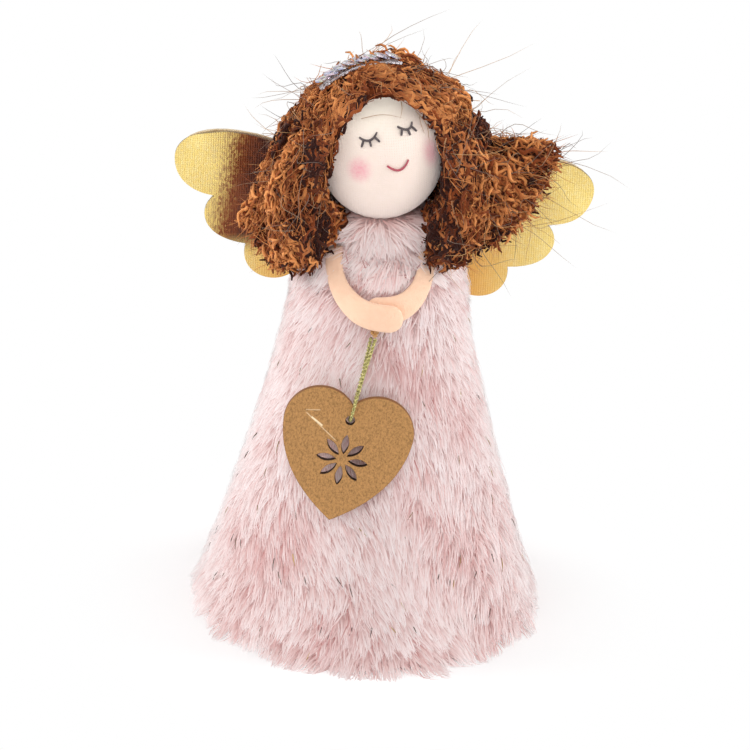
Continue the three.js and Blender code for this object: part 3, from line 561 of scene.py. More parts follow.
class Finish:
    """A material while its nodes are laid out."""

    def __init__(self, name, **sockets):
        self.material = bpy.data.materials.new(name)
        self.material.use_nodes = True
        self.tree = self.material.node_tree
        self.shader = self.tree.nodes["Principled BSDF"]
        for key, value in sockets.items():
            self.put(key.replace("_", " ").title().replace("Ior", "IOR"), value)

    def put(self, socket, value, node=None):
        target = (node or self.shader).inputs[socket]
        if isinstance(value, bpy.types.NodeSocket):
            self.tree.links.new(value, target)
        elif target.type == "RGBA" and len(value) == 3:
            target.default_value = (*value, 1)
        else:
            target.default_value = value

    def add(self, kind, inputs=(), **settings):
        node = self.tree.nodes.new(kind)
        for key, value in settings.items():
            setattr(node, key, value)
        for socket, value in dict(inputs).items():
            self.put(socket, value, node)
        return node

    def spot(self, output="Object"):
        """The place of a point in its object, or the way out there."""
        return self.add("ShaderNodeTexCoord").outputs[output]

    def place(self, stretch=(1, 1, 1)):
        """Object coordinates, stretched."""
        return self.add("ShaderNodeMapping", {"Vector": self.spot(), "Scale": stretch}).outputs["Vector"]

    def split(self, vector):
        return self.add("ShaderNodeSeparateXYZ", {"Vector": vector}).outputs

    def map(self):
        """A fibre's tone and the place along it."""
        parts = self.split(self.add("ShaderNodeUVMap", uv_map="OFBake").outputs["UV"])
        return parts["X"], parts["Y"]

    def noise(self, scale, detail=3, vector=None, rough=0.55):
        inputs = {"Vector": vector or self.place(), "Scale": scale, "Detail": detail, "Roughness": rough}
        return self.add("ShaderNodeTexNoise", inputs).outputs["Fac"]

    def cells(self, scale, vector=None, feature="F1", output="Distance"):
        inputs = {"Vector": vector or self.place(), "Scale": scale}
        return self.add("ShaderNodeTexVoronoi", inputs, feature=feature).outputs[output]

    def wave(self, pitch, axis, vector=None, warp=0.0):
        """Stripes across an axis with the given pitch."""
        inputs = {"Vector": vector or self.place(), "Scale": math.pi / 10 / pitch, "Distortion": warp}
        return self.add("ShaderNodeTexWave", inputs, bands_direction=axis).outputs["Fac"]

    def sum(self, first, second, operation="ADD"):
        return self.add("ShaderNodeMath", {0: first, 1: second}, operation=operation).outputs["Value"]

    def product(self, first, second):
        return self.sum(first, second, "MULTIPLY")

    def unsigned(self, value):
        return self.sum(value, 0.0, "ABSOLUTE")

    def vectors(self, operation, output, *values):
        inputs = dict(enumerate(values))
        return self.add("ShaderNodeVectorMath", inputs, operation=operation).outputs[output]

    def ramp(self, factor, *stops):
        node = self.add("ShaderNodeValToRGB", {"Fac": factor})
        band = node.color_ramp.elements
        while len(band) < len(stops):
            band.new(0.5)
        for mark, (place, tone) in zip(band, stops):
            mark.position = place
            mark.color = (*tone, 1) if hasattr(tone, "__len__") else (tone, tone, tone, 1)
        return node.outputs["Color"]

    def mix(self, factor, first, second, blend="MIX"):
        node = self.add("ShaderNodeMix", data_type="RGBA", blend_type=blend)
        for socket, value in ((0, factor), (6, first), (7, second)):
            self.put(socket, value, node)
        return node.outputs[2]

    def near(self, point, radius):
        """A soft spot about a point: 1 at its middle and 0 at its rim."""
        gap = self.vectors("DISTANCE", "Value", self.spot(), tuple(point))
        return self.step(gap, radius, 0)

    def streak(self, start, end, half_width):
        """A thin line between two points: 1 along its middle, 0 past its sides and its ends."""
        way, run = tuple((end - start).normalized()), (end - start).length
        gap = self.vectors("SUBTRACT", "Vector", self.spot(), tuple(start))
        ahead = self.vectors("DOT_PRODUCT", "Value", gap, way)
        aside = self.vectors("CROSS_PRODUCT", "Vector", gap, way)
        aside = self.vectors("LENGTH", "Value", aside)
        ends = self.product(self.step(ahead, 0, run * 0.1), self.step(ahead, run, run * 0.9))
        return self.product(ends, self.step(aside, half_width, half_width * 0.4))

    def step(self, value, start, end):
        """A soft step from 0 to 1."""
        limits = {"Value": value, "From Min": start, "From Max": end, "To Min": 0, "To Max": 1}
        return self.add("ShaderNodeMapRange", limits, interpolation_type="SMOOTHSTEP").outputs["Result"]

    def bump(self, height, distance, strength=1.0):
        inputs = {"Height": height, "Distance": distance, "Strength": strength}
        self.put("Normal", self.add("ShaderNodeBump", inputs).outputs["Normal"])

    def colour(self, value):
        self.put("Base Color", value)


def pile_finish(name, root, middle, tip):
    """Plush fibres, deeper at the root and paler at the tip."""
    made = Finish(name, roughness=0.85, sheen_weight=0.9, sheen_roughness=0.4, specular_ior_level=0.1)
    tone, height = made.map()
    body = made.ramp(height, (0, root), (0.5, middle), (1, tip))
    shade = made.ramp(tone, (0, srgb(228, 190, 188)), (0.5, srgb(250, 242, 241)), (1, (1, 1, 1)))
    made.colour(made.mix(1.0, body, shade, "MULTIPLY"))
    return made.material


def backing_finish(name, settings):
    """The short undercoat of the plush: pinker in its hollows, streaked along its lay."""
    made = Finish(name, roughness=0.95, sheen_weight=0.2, specular_ior_level=0.1)
    streaks = made.noise(1600, 4, made.place(stretch=(1, 1, 0.25)))
    patches = made.ramp(made.noise(210), (0.35, 0.0), (0.65, 0.6))
    patches = made.sum(patches, made.ramp(streaks, (0.3, 0.0), (0.7, 0.4)))
    made.colour(made.mix(patches, settings.root[:], settings.middle[:]))
    made.bump(streaks, 0.0005)
    return made.material


def toned_finish(name, dark, middle, light, **sockets):
    """Single fibres, each in one colour by its tone."""
    made = Finish(name, **sockets)
    made.colour(made.ramp(made.map()[0], (0, dark), (0.5, middle), (1, light)))
    return made.material


def fleck_finish():
    tones = srgb(60, 50, 46), srgb(140, 112, 66), srgb(214, 184, 112)
    return toned_finish("Tinsel flecks", *tones, metallic=0.7, roughness=0.35)


def stray_finish():
    tones = srgb(104, 92, 88), srgb(150, 122, 100), srgb(206, 158, 104)
    return toned_finish("Stray hairs", *tones, roughness=0.6, specular_ior_level=0.3)


def yarn_finish(name, settings):
    """Yarn in one colour for each curl, darker towards its ends."""
    made = Finish(name, roughness=0.78, sheen_weight=0.05, specular_ior_level=0.15)
    tone, place = made.map()
    dark = settings.dark[:]
    # The ramp runs from the painted shade of the gaps through the yarn's own colour to a painted highlight.
    body = made.ramp(tone, (0.1, dark), (0.52, settings.middle[:]), (0.94, settings.light[:]))
    ends = made.ramp(place, (0, 0.5), (0.25, 0.0), (0.8, 0.0), (1, 0.35))
    made.colour(made.mix(ends, body, dark))
    return made.material


def core_finish(settings):
    made = Finish("Yarn core", roughness=0.95, specular_ior_level=0.1)
    # The core shows in the gaps between curls, so it is painted with the gaps' shade, in patches of the
    # yarn's own colour.
    patches = made.ramp(made.noise(420), (0.4, 0.0), (0.75, 0.5))
    made.colour(made.mix(patches, settings.dark[:], settings.middle[:]))
    made.bump(made.noise(900, 4), 0.0008)
    return made.material


def face_finish(settings):
    """Knit cloth with painted light that makes the forehead paler, and rouge on the cheeks."""
    made = Finish("Face cloth", roughness=0.9, sheen_weight=0.7, sheen_roughness=0.6, specular_ior_level=0.15)
    cloth = made.mix(made.noise(900), settings.cloth[:], srgb(246, 226, 212))
    # Painted light: the forehead, where the hair shades it, is painted paler.
    painted_brow_light = made.near(on_head(HEAD_RADIUS, 0, 62), HEAD_RADIUS * 1.15)
    cloth = made.mix(painted_brow_light, cloth, srgb(255, 247, 230))
    right_spot = made.near(on_head(HEAD_RADIUS, -37.5, -6.5), settings.blush_radius)
    left_spot = made.near(on_head(HEAD_RADIUS, 42, -9.5), settings.blush_radius * 1.15)
    rouge = made.sum(right_spot, left_spot)
    rouge = made.product(rouge, made.ramp(made.noise(1500), (0.3, 0.55), (0.7, 0.95)))
    made.colour(made.mix(rouge, cloth, settings.blush[:]))
    made.bump(made.product(made.wave(0.0004, "X"), made.wave(0.0005, "Z")), 0.00008)
    return made.material


def thread_finish(name, tone):
    made = Finish(name, roughness=0.8, sheen_weight=0.2, specular_ior_level=0.2)
    patches = made.ramp(made.noise(2600), (0.35, 0.0), (0.7, 0.45))
    made.colour(made.mix(patches, tone, (0.3, 0.25, 0.25)))
    made.bump(made.wave(0.0003, "DIAGONAL", warp=1.0), 0.0001)
    return made.material


def felt_finish(settings):
    made = Finish("Arm felt", roughness=0.95, sheen_weight=0.4, specular_ior_level=0.1)
    made.colour(made.mix(made.noise(700, 4), settings.felt[:], srgb(246, 200, 168)))
    made.bump(made.noise(2600, 5), 0.0003, 0.6)
    return made.material


def gold_finish(settings):
    """Woven gold cloth: pale outwards, with a painted reflection of the hair on the doll's right and painted
    shade low down near the body.
    """
    made = Finish("Gold cloth", metallic=0.3, roughness=0.4)
    spot = made.place()
    weave = made.sum(made.wave(settings.weave, "X", spot, 1.2), made.wave(settings.weave, "Z", spot, 1.2))
    # Pale cells over the gold are painted glints of its metal threads. The same cells fray the edge of the
    # painted reflection.
    grain = made.cells(2600, made.place(stretch=(1, 1, 0.5)), output="Color")
    body = made.mix(made.ramp(grain, (0.3, 0.0), (0.9, 0.5)), settings.gold[:], srgb(255, 240, 178))
    body = made.mix(made.ramp(weave, (0.2, 0.22), (0.6, 0.0)), body, srgb(204, 160, 74))
    axes = made.split(spot)
    fray = made.product(made.sum(grain, 0.5, "SUBTRACT"), HAIR_MIRROR_FRAY)
    slant = made.product(made.sum(HAIR_MIRROR_TOP, axes["Z"], "SUBTRACT"), HAIR_MIRROR_SLANT)
    past = made.sum(made.sum(made.sum(axes["X"], slant), HAIR_MIRROR_REACH), fray)
    low = made.step(axes["Z"], *HAIR_MIRROR_LOW)
    right = made.step(axes["X"], *HAIR_MIRROR_RIGHT)
    # The painted reflection of the hair: dark brown inside the slanting line, darker still deep within it.
    mirror_mask = made.product(made.product(made.step(past, *HAIR_MIRROR_EDGE), low), right)
    # Painted shade near the body and low down.
    body_shade = made.step(made.unsigned(axes["X"]), *BODY_SHADE_ACROSS)
    body_shade = made.product(body_shade, made.step(axes["Z"], *BODY_SHADE_HEIGHT))
    body = made.mix(made.product(body_shade, BODY_SHADE_STRENGTH), body, settings.body_shade[:])
    mirrored_hair = made.mix(made.step(past, *HAIR_MIRROR_DEEP), settings.mirrored_hair[:], srgb(70, 26, 10))
    body = made.mix(mirror_mask, body, mirrored_hair)
    facing = made.split(made.spot("Normal"))["Y"]
    edge = made.ramp(made.unsigned(facing), (0.35, 0.85), (0.6, 0.0))
    made.colour(made.mix(edge, body, srgb(84, 62, 28)))
    made.put("Roughness", made.ramp(made.noise(900), (0.2, 0.32), (0.8, 0.5)))
    made.bump(made.sum(weave, made.noise(120)), 0.00012, 0.5)
    return made.material


def leaned(x, y, turn):
    """A place in the heart's plane, turned about the hole."""
    return x * math.cos(turn) - y * math.sin(turn), x * math.sin(turn) + y * math.cos(turn)


def heart_spot(across, up):
    """A place on the heart's face, from its hole."""
    x, y = leaned(across, up, HEART_LEAN)
    return HOLE + Vector((1, 0, 0)) * x + PLANE_UP * y + PLANE_OUT * (HEART_THICKNESS / 2)


def wood_finish(settings):
    """Pale fibre board with fine flecks and edges burnt by the cut."""
    made = Finish("Heart wood", roughness=0.7, specular_ior_level=0.3)
    flecks = made.noise(2300, 6, made.place(stretch=(1, 1, 0.7)), 0.75)
    pale, deep = [tuple(share * part for part in settings.wood) for share in (1.25, 0.55)]
    body = made.ramp(flecks, (0.36, deep), (0.5, settings.wood[:]), (0.64, pale))
    scuff = 0.0
    for start, end, half_width, strength in SCRATCHES:
        line = made.streak(heart_spot(*start), heart_spot(*end), half_width)
        scuff = made.sum(scuff, made.product(line, strength), "MAXIMUM")
    scuff = made.product(scuff, made.ramp(flecks, (0.3, 0.6), (0.5, 1.0)))
    body = made.mix(scuff, body, srgb(250, 226, 186))
    facing = made.unsigned(made.vectors("DOT_PRODUCT", "Value", made.spot("Normal"), tuple(PLANE_OUT)))
    slots = made.sum(made.near(heart_spot(0, -FLOWER_DROP), 0.0085), made.near(HOLE, 0.0026))
    edge = made.mix(made.ramp(slots, (0.05, 0.0), (0.2, 1.0)), srgb(128, 86, 48), settings.burnt[:])
    made.colour(made.mix(made.ramp(facing, (0.55, 1.0), (0.93, 0.0)), body, edge))
    made.bump(flecks, 0.00012, 0.5)
    return made.material


def cord_finish(settings):
    made = Finish("Gold cord", metallic=0.35, roughness=0.42)
    glint = made.ramp(made.noise(3200, 3), (0.38, 0.0), (0.62, 1.0))
    made.colour(made.mix(glint, settings.cord_shade[:], settings.cord[:]))
    made.bump(made.noise(5200, 3), 0.0001)
    return made.material


def sequin_finish():
    made = Finish("Sequin film", metallic=0.7, roughness=0.2, coat_weight=0.3)
    rainbow = made.ramp(
        made.cells(1100, output="Color"),
        (0.1, srgb(140, 134, 148)),
        (0.3, srgb(172, 176, 216)),
        (0.45, srgb(226, 228, 236)),
        (0.6, srgb(216, 178, 200)),
        (0.75, srgb(196, 208, 178)),
        (0.9, srgb(178, 172, 172)),
    )
    gaps = made.ramp(made.cells(1100, feature="DISTANCE_TO_EDGE"), (0.0, 0.75), (0.12, 0.0))
    made.colour(made.mix(gaps, rainbow, srgb(92, 84, 90)))
    made.bump(made.cells(1500, feature="SMOOTH_F1"), 0.0002, 0.6)
    return made.material


def ribbon_finish():
    made = Finish("Silver ribbon", metallic=0.6, roughness=0.35)
    weave = made.ramp(made.cells(1300), (0.0, 1.0), (0.55, 0.0))
    made.colour(made.mix(weave, srgb(176, 168, 172), srgb(250, 249, 255)))
    made.bump(weave, 0.0003)
    return made.material


def card_finish(name, pale, deep):
    made = Finish(name, roughness=0.9, specular_ior_level=0.2)
    fibres = made.noise(900, 5, made.place(stretch=(1, 1, 0.4)), 0.65)
    made.colour(made.mix(made.ramp(fibres, (0.35, 0.0), (0.7, 1.0)), deep, pale))
    made.bump(fibres, 0.0001)
    return made.material


def foam_finish():
    made = Finish("White foam", roughness=0.8, specular_ior_level=0.3)
    beads = made.cells(420, feature="DISTANCE_TO_EDGE")
    made.colour(made.ramp(beads, (0, srgb(214, 212, 206)), (0.12, srgb(244, 243, 239))))
    made.bump(made.ramp(beads, (0, 0.0), (0.25, 1.0)), 0.0004)
    return made.material


def peg_finish():
    made = Finish("Pale wood", roughness=0.65, specular_ior_level=0.3)
    grain = made.noise(700, 5, made.place(stretch=(1, 1, 0.06)), 0.6)
    shade = made.ramp(grain, (0.35, 0.0), (0.65, 1.0))
    made.colour(made.mix(shade, srgb(196, 158, 108), srgb(230, 202, 158)))
    made.bump(grain, 0.0002)
    return made.material


def glue_finish():
    made = Finish("Clear glue", roughness=0.3, transmission_weight=0.35, ior=1.48)
    made.colour(made.mix(made.noise(300), srgb(240, 234, 214), srgb(226, 214, 186)))
    made.bump(made.noise(420), 0.0006)
    return made.material


# Stage

# Each lamp's name, place, size and power, and the point that they all shine at.
LAMPS = (
    ("Left lamp", (-1.4, -1.2, 1.1), 1.0, 3.5),
    ("Right lamp", (1.4, -1.2, 1.0), 1.0, 3),
    ("Front lamp", (0.0, -1.55, 1.05), 0.5, 4.4),
    ("Left side lamp", (-1.6, 0.2, 0.8), 0.9, 18),
    ("Right side lamp", (1.6, 0.2, 0.8), 0.9, 17),
    ("Top lamp", (0.0, -0.9, 1.8), 0.8, 5),
)
LAMP_AIM = Vector((0, 0, 0.07))
# The white world's strength as light, and as what the camera and glossy pieces see.
WORLD_LIGHT, WORLD_SEEN = 0.52, 1.0
# The floor's size, and how far from its middle it shows shadows.
FLOOR_SIZE, SHADOW_REACH = 8, 0.075


class StageOperator(bpy.types.Operator):
    """Set up the camera, the lamps, the world and the floor"""

    bl_idname = "angel.stage"
    bl_label = "Stage"

    def execute(self, context):
        stage = context.scene.angel_stage
        context.scene.view_settings.view_transform = "Standard"
        self.camera(context, stage)
        for lamp in LAMPS:
            self.lamp(*lamp)
        self.world(context)
        self.floor(stage)
        return {"FINISHED"}

    def camera(self, context, stage):
        data = bpy.data.cameras.new("Camera")
        data.lens = stage.lens
        data.sensor_width = 36
        data.clip_end = 20
        camera = new_object("Camera", data)
        back = Vector((0, -math.cos(stage.elevation), math.sin(stage.elevation)))
        camera.location = Vector((0, 0, stage.aim)) + back * stage.distance
        camera.rotation_mode = "QUATERNION"
        camera.rotation_quaternion = (-back).to_track_quat("-Z", "Y") @ Quaternion((0, 0, 1), stage.roll)
        context.scene.camera = camera

    def lamp(self, name, place, size, power):
        data = bpy.data.lights.new(name, "AREA")
        data.energy = power
        data.size = size
        lamp = new_object(name, data)
        lamp.location = place
        lamp.rotation_euler = (LAMP_AIM - lamp.location).to_track_quat("-Z", "Y").to_euler()

    def world(self, context):
        world = bpy.data.worlds.new("Studio")
        context.scene.world = world
        world.use_nodes = True
        tree = world.node_tree
        shade = tree.nodes["Background"]
        path = tree.nodes.new("ShaderNodeLightPath")
        seen = tree.nodes.new("ShaderNodeMath")
        seen.operation = "MAXIMUM"
        strength = tree.nodes.new("ShaderNodeMapRange")
        strength.inputs["To Min"].default_value = WORLD_LIGHT
        strength.inputs["To Max"].default_value = WORLD_SEEN
        shade.inputs["Color"].default_value = (1, 1, 1, 1)
        tree.links.new(path.outputs["Is Camera Ray"], seen.inputs[0])
        tree.links.new(path.outputs["Is Glossy Ray"], seen.inputs[1])
        tree.links.new(seen.outputs["Value"], strength.inputs["Value"])
        tree.links.new(strength.outputs["Result"], shade.inputs["Strength"])

    def floor(self, stage):
        """A floor that shows shadows round the object and is plain white further out."""
        deselect()
        bpy.ops.mesh.primitive_plane_add(size=FLOOR_SIZE, location=(0, 0, 0))
        floor = bpy.context.object
        floor.name = floor.data.name = "Floor"
        made = Finish("Floor white", roughness=0.9, specular_ior_level=0.0)
        made.colour(stage.floor[:])
        near = made.near((0, 0, 0), SHADOW_REACH)
        path = made.add("ShaderNodeLightPath").outputs
        seen = made.sum(path["Is Camera Ray"], path["Is Glossy Ray"], "MAXIMUM")
        seen = made.sum(seen, path["Is Transmission Ray"], "MAXIMUM")
        away = made.product(seen, made.sum(1.0, made.ramp(near, (0, 0.0), (0.55, 1.0)), "SUBTRACT"))
        glow = made.add("ShaderNodeEmission", {"Color": (1, 1, 1), "Strength": 1.0})
        blend = made.add("ShaderNodeMixShader", {"Fac": away, 1: made.shader.outputs[0], 2: glow.outputs[0]})
        output = made.tree.nodes["Material Output"]
        made.tree.links.new(blend.outputs[0], output.inputs["Surface"])
        floor.data.materials.append(made.material)


# Pendant

# Half the gap between the cord's strands: before and behind the heart, and side by side under the knot.
STRAND_GAP, STRAND_ASIDE = 0.0018, 0.00055
# How far the strands have parted, by the height over the hole. Their ends stop a little below the knot.
STRAND_PARTS = ((0.01525, 0.5), (0.010, 0.9), (0.005, 1.0))
STRAND_END, STRAND_SAG = 0.0013, 0.00015
# A ply's radius against its distance from the strand's middle, so that the plies press together.
PLY_SWELL = 1.12
# The knot's half width and half depth, and its radius against the cord's diameter.
KNOT_WIDE, KNOT_DEEP, KNOT_THICK = 0.00052, 0.00036, 0.42


class PendantOperator(bpy.types.Operator):
    """Make the doubled cord, its knot and the wooden heart"""

    bl_idname = "angel.pendant"
    bl_label = "Pendant"

    def execute(self, context):
        settings = context.scene.angel_pendant
        self.cord(settings, cord_finish(settings))
        self.knot(settings, thread_finish("Knot thread", srgb(206, 152, 84)))
        self.heart(settings)
        return {"FINISHED"}

    def cord(self, settings, finish):
        """Two plies twisted about a line that goes down in front, through the hole and up behind."""
        drop = (KNOT - HOLE).length
        up = (KNOT - HOLE).normalized()
        across = up.cross(PLANE_OUT)

        def spot(rise, out, aside):
            return HOLE + up * rise + PLANE_OUT * out + across * aside

        def strand(way):
            parts = ((drop - STRAND_END, 0.0), *STRAND_PARTS)
            return [spot(rise, way * STRAND_GAP * s, way * STRAND_ASIDE * (1 - s)) for rise, s in parts]

        angles = [step / 8 * math.pi for step in range(9)]
        bend = [
            spot(STRAND_GAP * (1 - math.sin(a)) - STRAND_SAG, STRAND_GAP * math.cos(a), 0) for a in angles
        ]
        path = spline([*strand(1), *bend, *strand(-1)[::-1]], 300)
        ahead = unit(np.gradient(path, axis=0))
        side = unit(np.cross(ahead, np.array(across)[None] + 0.2 * np.array(up)[None]))
        other = np.cross(ahead, side)
        run = path_run(path)
        ply = settings.cord_diameter / 4
        plies = []
        for start in (0, math.pi):
            turn = (run / settings.cord_lay * 2 * math.pi + start)[:, None]
            plies.append(path + ply * (side * np.cos(turn) + other * np.sin(turn)))
        radii = np.full((2, len(path)), ply * PLY_SWELL)
        cord = new_piece("pendant_cord_twist", *tubes(np.array(plies), radii, 6, np.array([0.3, 0.7]), False))
        finish_piece(cord, finish, "cord", "gold_cord", "pendant_cord")

    def knot(self, settings, finish):
        """The cord's tied ends, as a small overhand knot."""
        turn = np.linspace(0, 2 * math.pi, 73)[:-1]
        x = KNOT_WIDE * (np.sin(turn) + 2 * np.sin(2 * turn)) / 2
        y = KNOT_WIDE * (np.cos(turn) - 2 * np.cos(2 * turn)) / 2
        z = -KNOT_DEEP * np.sin(3 * turn)
        path = np.stack([x, y, z], 1)
        axes = np.array([(1, 0, 0), PLANE_UP[:], PLANE_OUT[:]])
        path = np.vstack([path, path[:1]]) @ axes + np.array(KNOT)
        radii = np.full((1, len(path)), settings.cord_diameter * KNOT_THICK)
        knot = new_piece("cord_knot_tied", *tubes(path[None], radii, 8, np.array([0.5]), False))
        finish_piece(knot, finish, "knot", "gold_cord", "cord_knot")

    def heart(self, settings):
        """A plate from two lobes and two bowed sides, with its hole and its flower cut out."""
        aside = HEART_WIDTH / 2 - LOBE_RADIUS
        notch_rise = math.sqrt(LOBE_RADIUS**2 - aside**2)
        level = HEART_NOTCH - notch_rise
        tip = level + LOBE_RADIUS - HEART_HEIGHT

        def on_lobe(turn):
            return aside + LOBE_RADIUS * math.cos(turn), level + LOBE_RADIUS * math.sin(turn)

        join = on_lobe(LOBE_START)
        side = (join[0] + SIDE_HANDLE * math.sin(LOBE_START), join[1] - SIDE_HANDLE * math.cos(LOBE_START))
        half = [bow((0, tip), side, join, step / 20) for step in range(20)]
        sweep = math.atan2(notch_rise, -aside) - LOBE_START
        half += [on_lobe(LOBE_START + sweep * step / 30) for step in range(31)]
        outline = half + [(-x, y) for x, y in half[-2:0:-1]]
        turns = [step / 20 * 2 * math.pi for step in range(20)]
        hole = [(HOLE_RADIUS * math.cos(turn), HOLE_RADIUS * math.sin(turn)) for turn in turns]
        cuts = [outline, hole, *self.petals()]
        heart = flat_curve("wooden_heart_cut", cuts, HEART_THICKNESS / 2, HEART_EDGE)
        lean = Matrix.Rotation(HEART_LEAN, 4, "Z")
        axes = Matrix((Vector((1, 0, 0)), PLANE_UP, PLANE_OUT)).transposed().to_4x4()
        heart.data.transform(Matrix.Translation(HOLE) @ axes @ lean)
        finish_piece(heart, wood_finish(settings), "heart", "heart_wood", "wooden_heart")

    def petals(self):
        """Eight slots round a small middle, each pointed at both ends."""
        middle = PETAL_START + (PETAL_END - PETAL_START) * PETAL_WIDEST
        marks = ((PETAL_START, 0), (middle, PETAL_HANDLE), (PETAL_END, 0), (middle, -PETAL_HANDLE))
        for index in range(PETALS):
            angle = math.pi / 2 + index / PETALS * 2 * math.pi
            turned = [leaned(*mark, angle) for mark in marks]
            start, left, end, right = [(x, y - FLOWER_DROP) for x, y in turned]
            one = [bow(start, left, end, step / 8) for step in range(8)]
            yield one + [bow(end, right, start, step / 8) for step in range(8)]


# Plush

# Steps in height and angle that spread any number of places evenly.
EVEN_HEIGHT, EVEN_ANGLE = 0.5698402910, 0.7548776662
# How a fibre stands out of the cloth and falls along it, and how it bows towards its tip.
FIBRE_OUT, FIBRE_DOWN = 1.05, 0.62
BOW_OUT, BOW_DOWN = -0.20, 0.28
# How far the tips of a tuft are drawn together.
TIP_PULL, PULL_POWER = 0.75, 1.2
# The width of a fibre at its points, as shares of its root's, and the most fibres in one mesh.
FIBRE_SHARES = np.array([1.0, 0.95, 0.72, 0.0])
PIECE_FIBRES = 12000
# The lengths that a fibre is cut to, until it hides nothing in front of the plush.
CUTS = (1.0, 0.88, 0.76, 0.64, 0.52, 0.4, 0.3)

# Places where the pile parts and shows its depth, as the angle round the skirt and the height.
PARTINGS = (
    (0.43, 0.0406), (0.64, 0.035), (0.10, 0.0775), (-0.05, 0.018), (0.9, 0.020), (2.3, 0.05), (-2.0, 0.03)
)
PARTING_REACH, PARTING_TURN = 0.0042, 1.2

# The backing's hem as radius and height: from its folded edge inside the cone to the skirt's outside.
BACKING_HEM = ((0.0314, 0.012), (0.0300, 0.0120), (0.0325, 0.0003), (0.0352, 0.0), (0.0362, 0.0002))
# The backing's inside, from the neck down to the fold.
BACKING_INSIDE = (
    (0.0045, 0.0965), (0.0045, 0.0957), (0.0110, 0.0930), (0.0140, 0.0866), (0.0355, 0.0012), (0.0340, 0.0012)
)
# The lowest height of the backing's outside, and how far it rises over the shoulder.
BACKING_LOW, BACKING_SHOULDER = 0.0018, 0.0128

# The collar's ring: its middle and half its height, then its inner radius, its reach and its roundness.
COLLAR_HEIGHT, COLLAR_HALF = 0.1016, 0.0036
COLLAR_INSIDE, COLLAR_REACH, COLLAR_ROUND = 0.0050, 0.0056, 0.6

# The arms: the shares of their length that curve over the chest and reach on, their places and widths.
ARM_BEND, ARM_HAND = 0.8, 0.2
ARM_ASIDE, ARM_ASIDE_POWER = 0.0104, 0.8
ARM_TOP, ARM_DROP = 0.0962, 0.0092
RIGHT_HAND_DIP = 0.0013
ARM_LIFT = 0.0011
WRIST_HALF, HAND_SWELL = 0.0022, 0.0012
# Each arm's side, how far its hand reaches past the middle, and how far the hand is lifted over the other.
ARMS = {"arm_right": (-1, 0.0052, 0.0019), "arm_left": (1, 0.003, 0.0)}

# The room that the pile leaves: round an arm, beside the heart by height from its hole, and beside the cord.
ARM_ROOM, BEHIND_ARM = 0.0003, -0.0012
HEART_ROOM = ((-0.0265, -0.0245, -0.016, -0.006, 0.0075), (0.0, 0.003, 0.012, 0.016, 0.016))
BEHIND_HEART, BEHIND_CORD = -0.0016, -0.0012
CORD_ROOM, CORD_TOP = 0.0009, 0.0215

# Heights of the two rows of dark flecks near the hem, and the share of the flecks in them.
FLECK_ROWS, ROW_SHARE = (0.022, 0.0108), 0.3


def ring_ways(angle):
    """The ways out and sideways at angles round the upright axis."""
    level = np.zeros_like(angle)
    around = np.stack([np.sin(angle), -np.cos(angle), level], -1)
    return around, np.stack([np.cos(angle), np.sin(angle), level], -1)


def skirt_spots(rng, number, lowest, highest):
    """Places spread evenly over the skirt's form, as angles and heights."""
    heights = np.linspace(lowest, highest, 600)
    radii = skirt_radius(heights)
    strips = np.hypot(np.diff(heights), np.diff(radii)) * (radii[1:] + radii[:-1])
    share = np.concatenate([[0], np.cumsum(strips)]) / strips.sum()
    index = np.arange(number) + rng.uniform(0, 1)
    height = np.interp(index * EVEN_HEIGHT % 1, share, heights) + rng.normal(0, 0.0004, number)
    angle = index * EVEN_ANGLE % 1 * 2 * math.pi - math.pi + rng.normal(0, 0.012, number)
    return angle, np.clip(height, lowest, highest)


def skirt_frame(angle, height, depth):
    """Places under the skirt's form, and the ways out, down and sideways there."""
    slope = np.clip(skirt_slope(height), -6, 0)[:, None]
    around, sideways = ring_ways(angle)
    out = unit(around - slope * RISE)
    down = unit(-slope * -around - RISE)
    place = around * skirt_radius(height)[:, None] + RISE * height[:, None]
    return place - out * np.reshape(depth, (-1, 1)), (out, down, sideways)


def swirl(angle, height):
    """How the pile leans sideways and stands up: it drifts, and turns away from each parting."""
    place = skirt_frame(angle, height, 0)[0]
    lean = 0.32 * ripple(place, 0.022, 5) + 0.12 * ripple(place, 0.008, 6)
    stand = 0.05 * ripple(place, 0.012, 7) + 0.16 * smooth(0.022, 0.004, height)
    for middle, level in PARTINGS:
        across = np.sin(angle - middle) * skirt_radius(level)
        near = np.exp(-(across**2 + (height - level) ** 2) / PARTING_REACH**2)
        lean += PARTING_TURN * across / PARTING_REACH * near
    return lean, stand


def pile_paths(rng, place, ways, lean, stand, pile, per_tuft, spread):
    """Fibres of tufts: each starts near its tuft's root, bows over and leans in at the tip."""
    number = len(place)
    out, down, sideways = ways
    steps = np.linspace(0, 1, len(FIBRE_SHARES))[None, :, None]
    fall = BOW_OUT * out + BOW_DOWN * down

    def fibre(root, lean, stand, size):
        way = unit(out * (FIBRE_OUT + stand)[:, None] + down * FIBRE_DOWN + sideways * lean[:, None])
        return root[:, None] + size[:, None, None] * (way[:, None] * steps + fall[:, None] * steps**2)

    guide = fibre(place, lean, stand, pile * rng.uniform(0.85, 1.15, number))
    pull = TIP_PULL * steps**PULL_POWER
    paths = []
    for _ in range(per_tuft):
        shift = rng.normal(0, spread, (2, number))
        root = place + sideways * shift[0][:, None] + down * shift[1][:, None]
        own_lean = lean + rng.normal(0, 0.2, number)
        own_stand = stand + rng.normal(0, 0.1, number)
        own = fibre(root, own_lean, own_stand, pile * rng.uniform(0.7, 1.2, number))
        paths.append(own * (1 - pull) + guide * pull)
    return np.concatenate(paths)


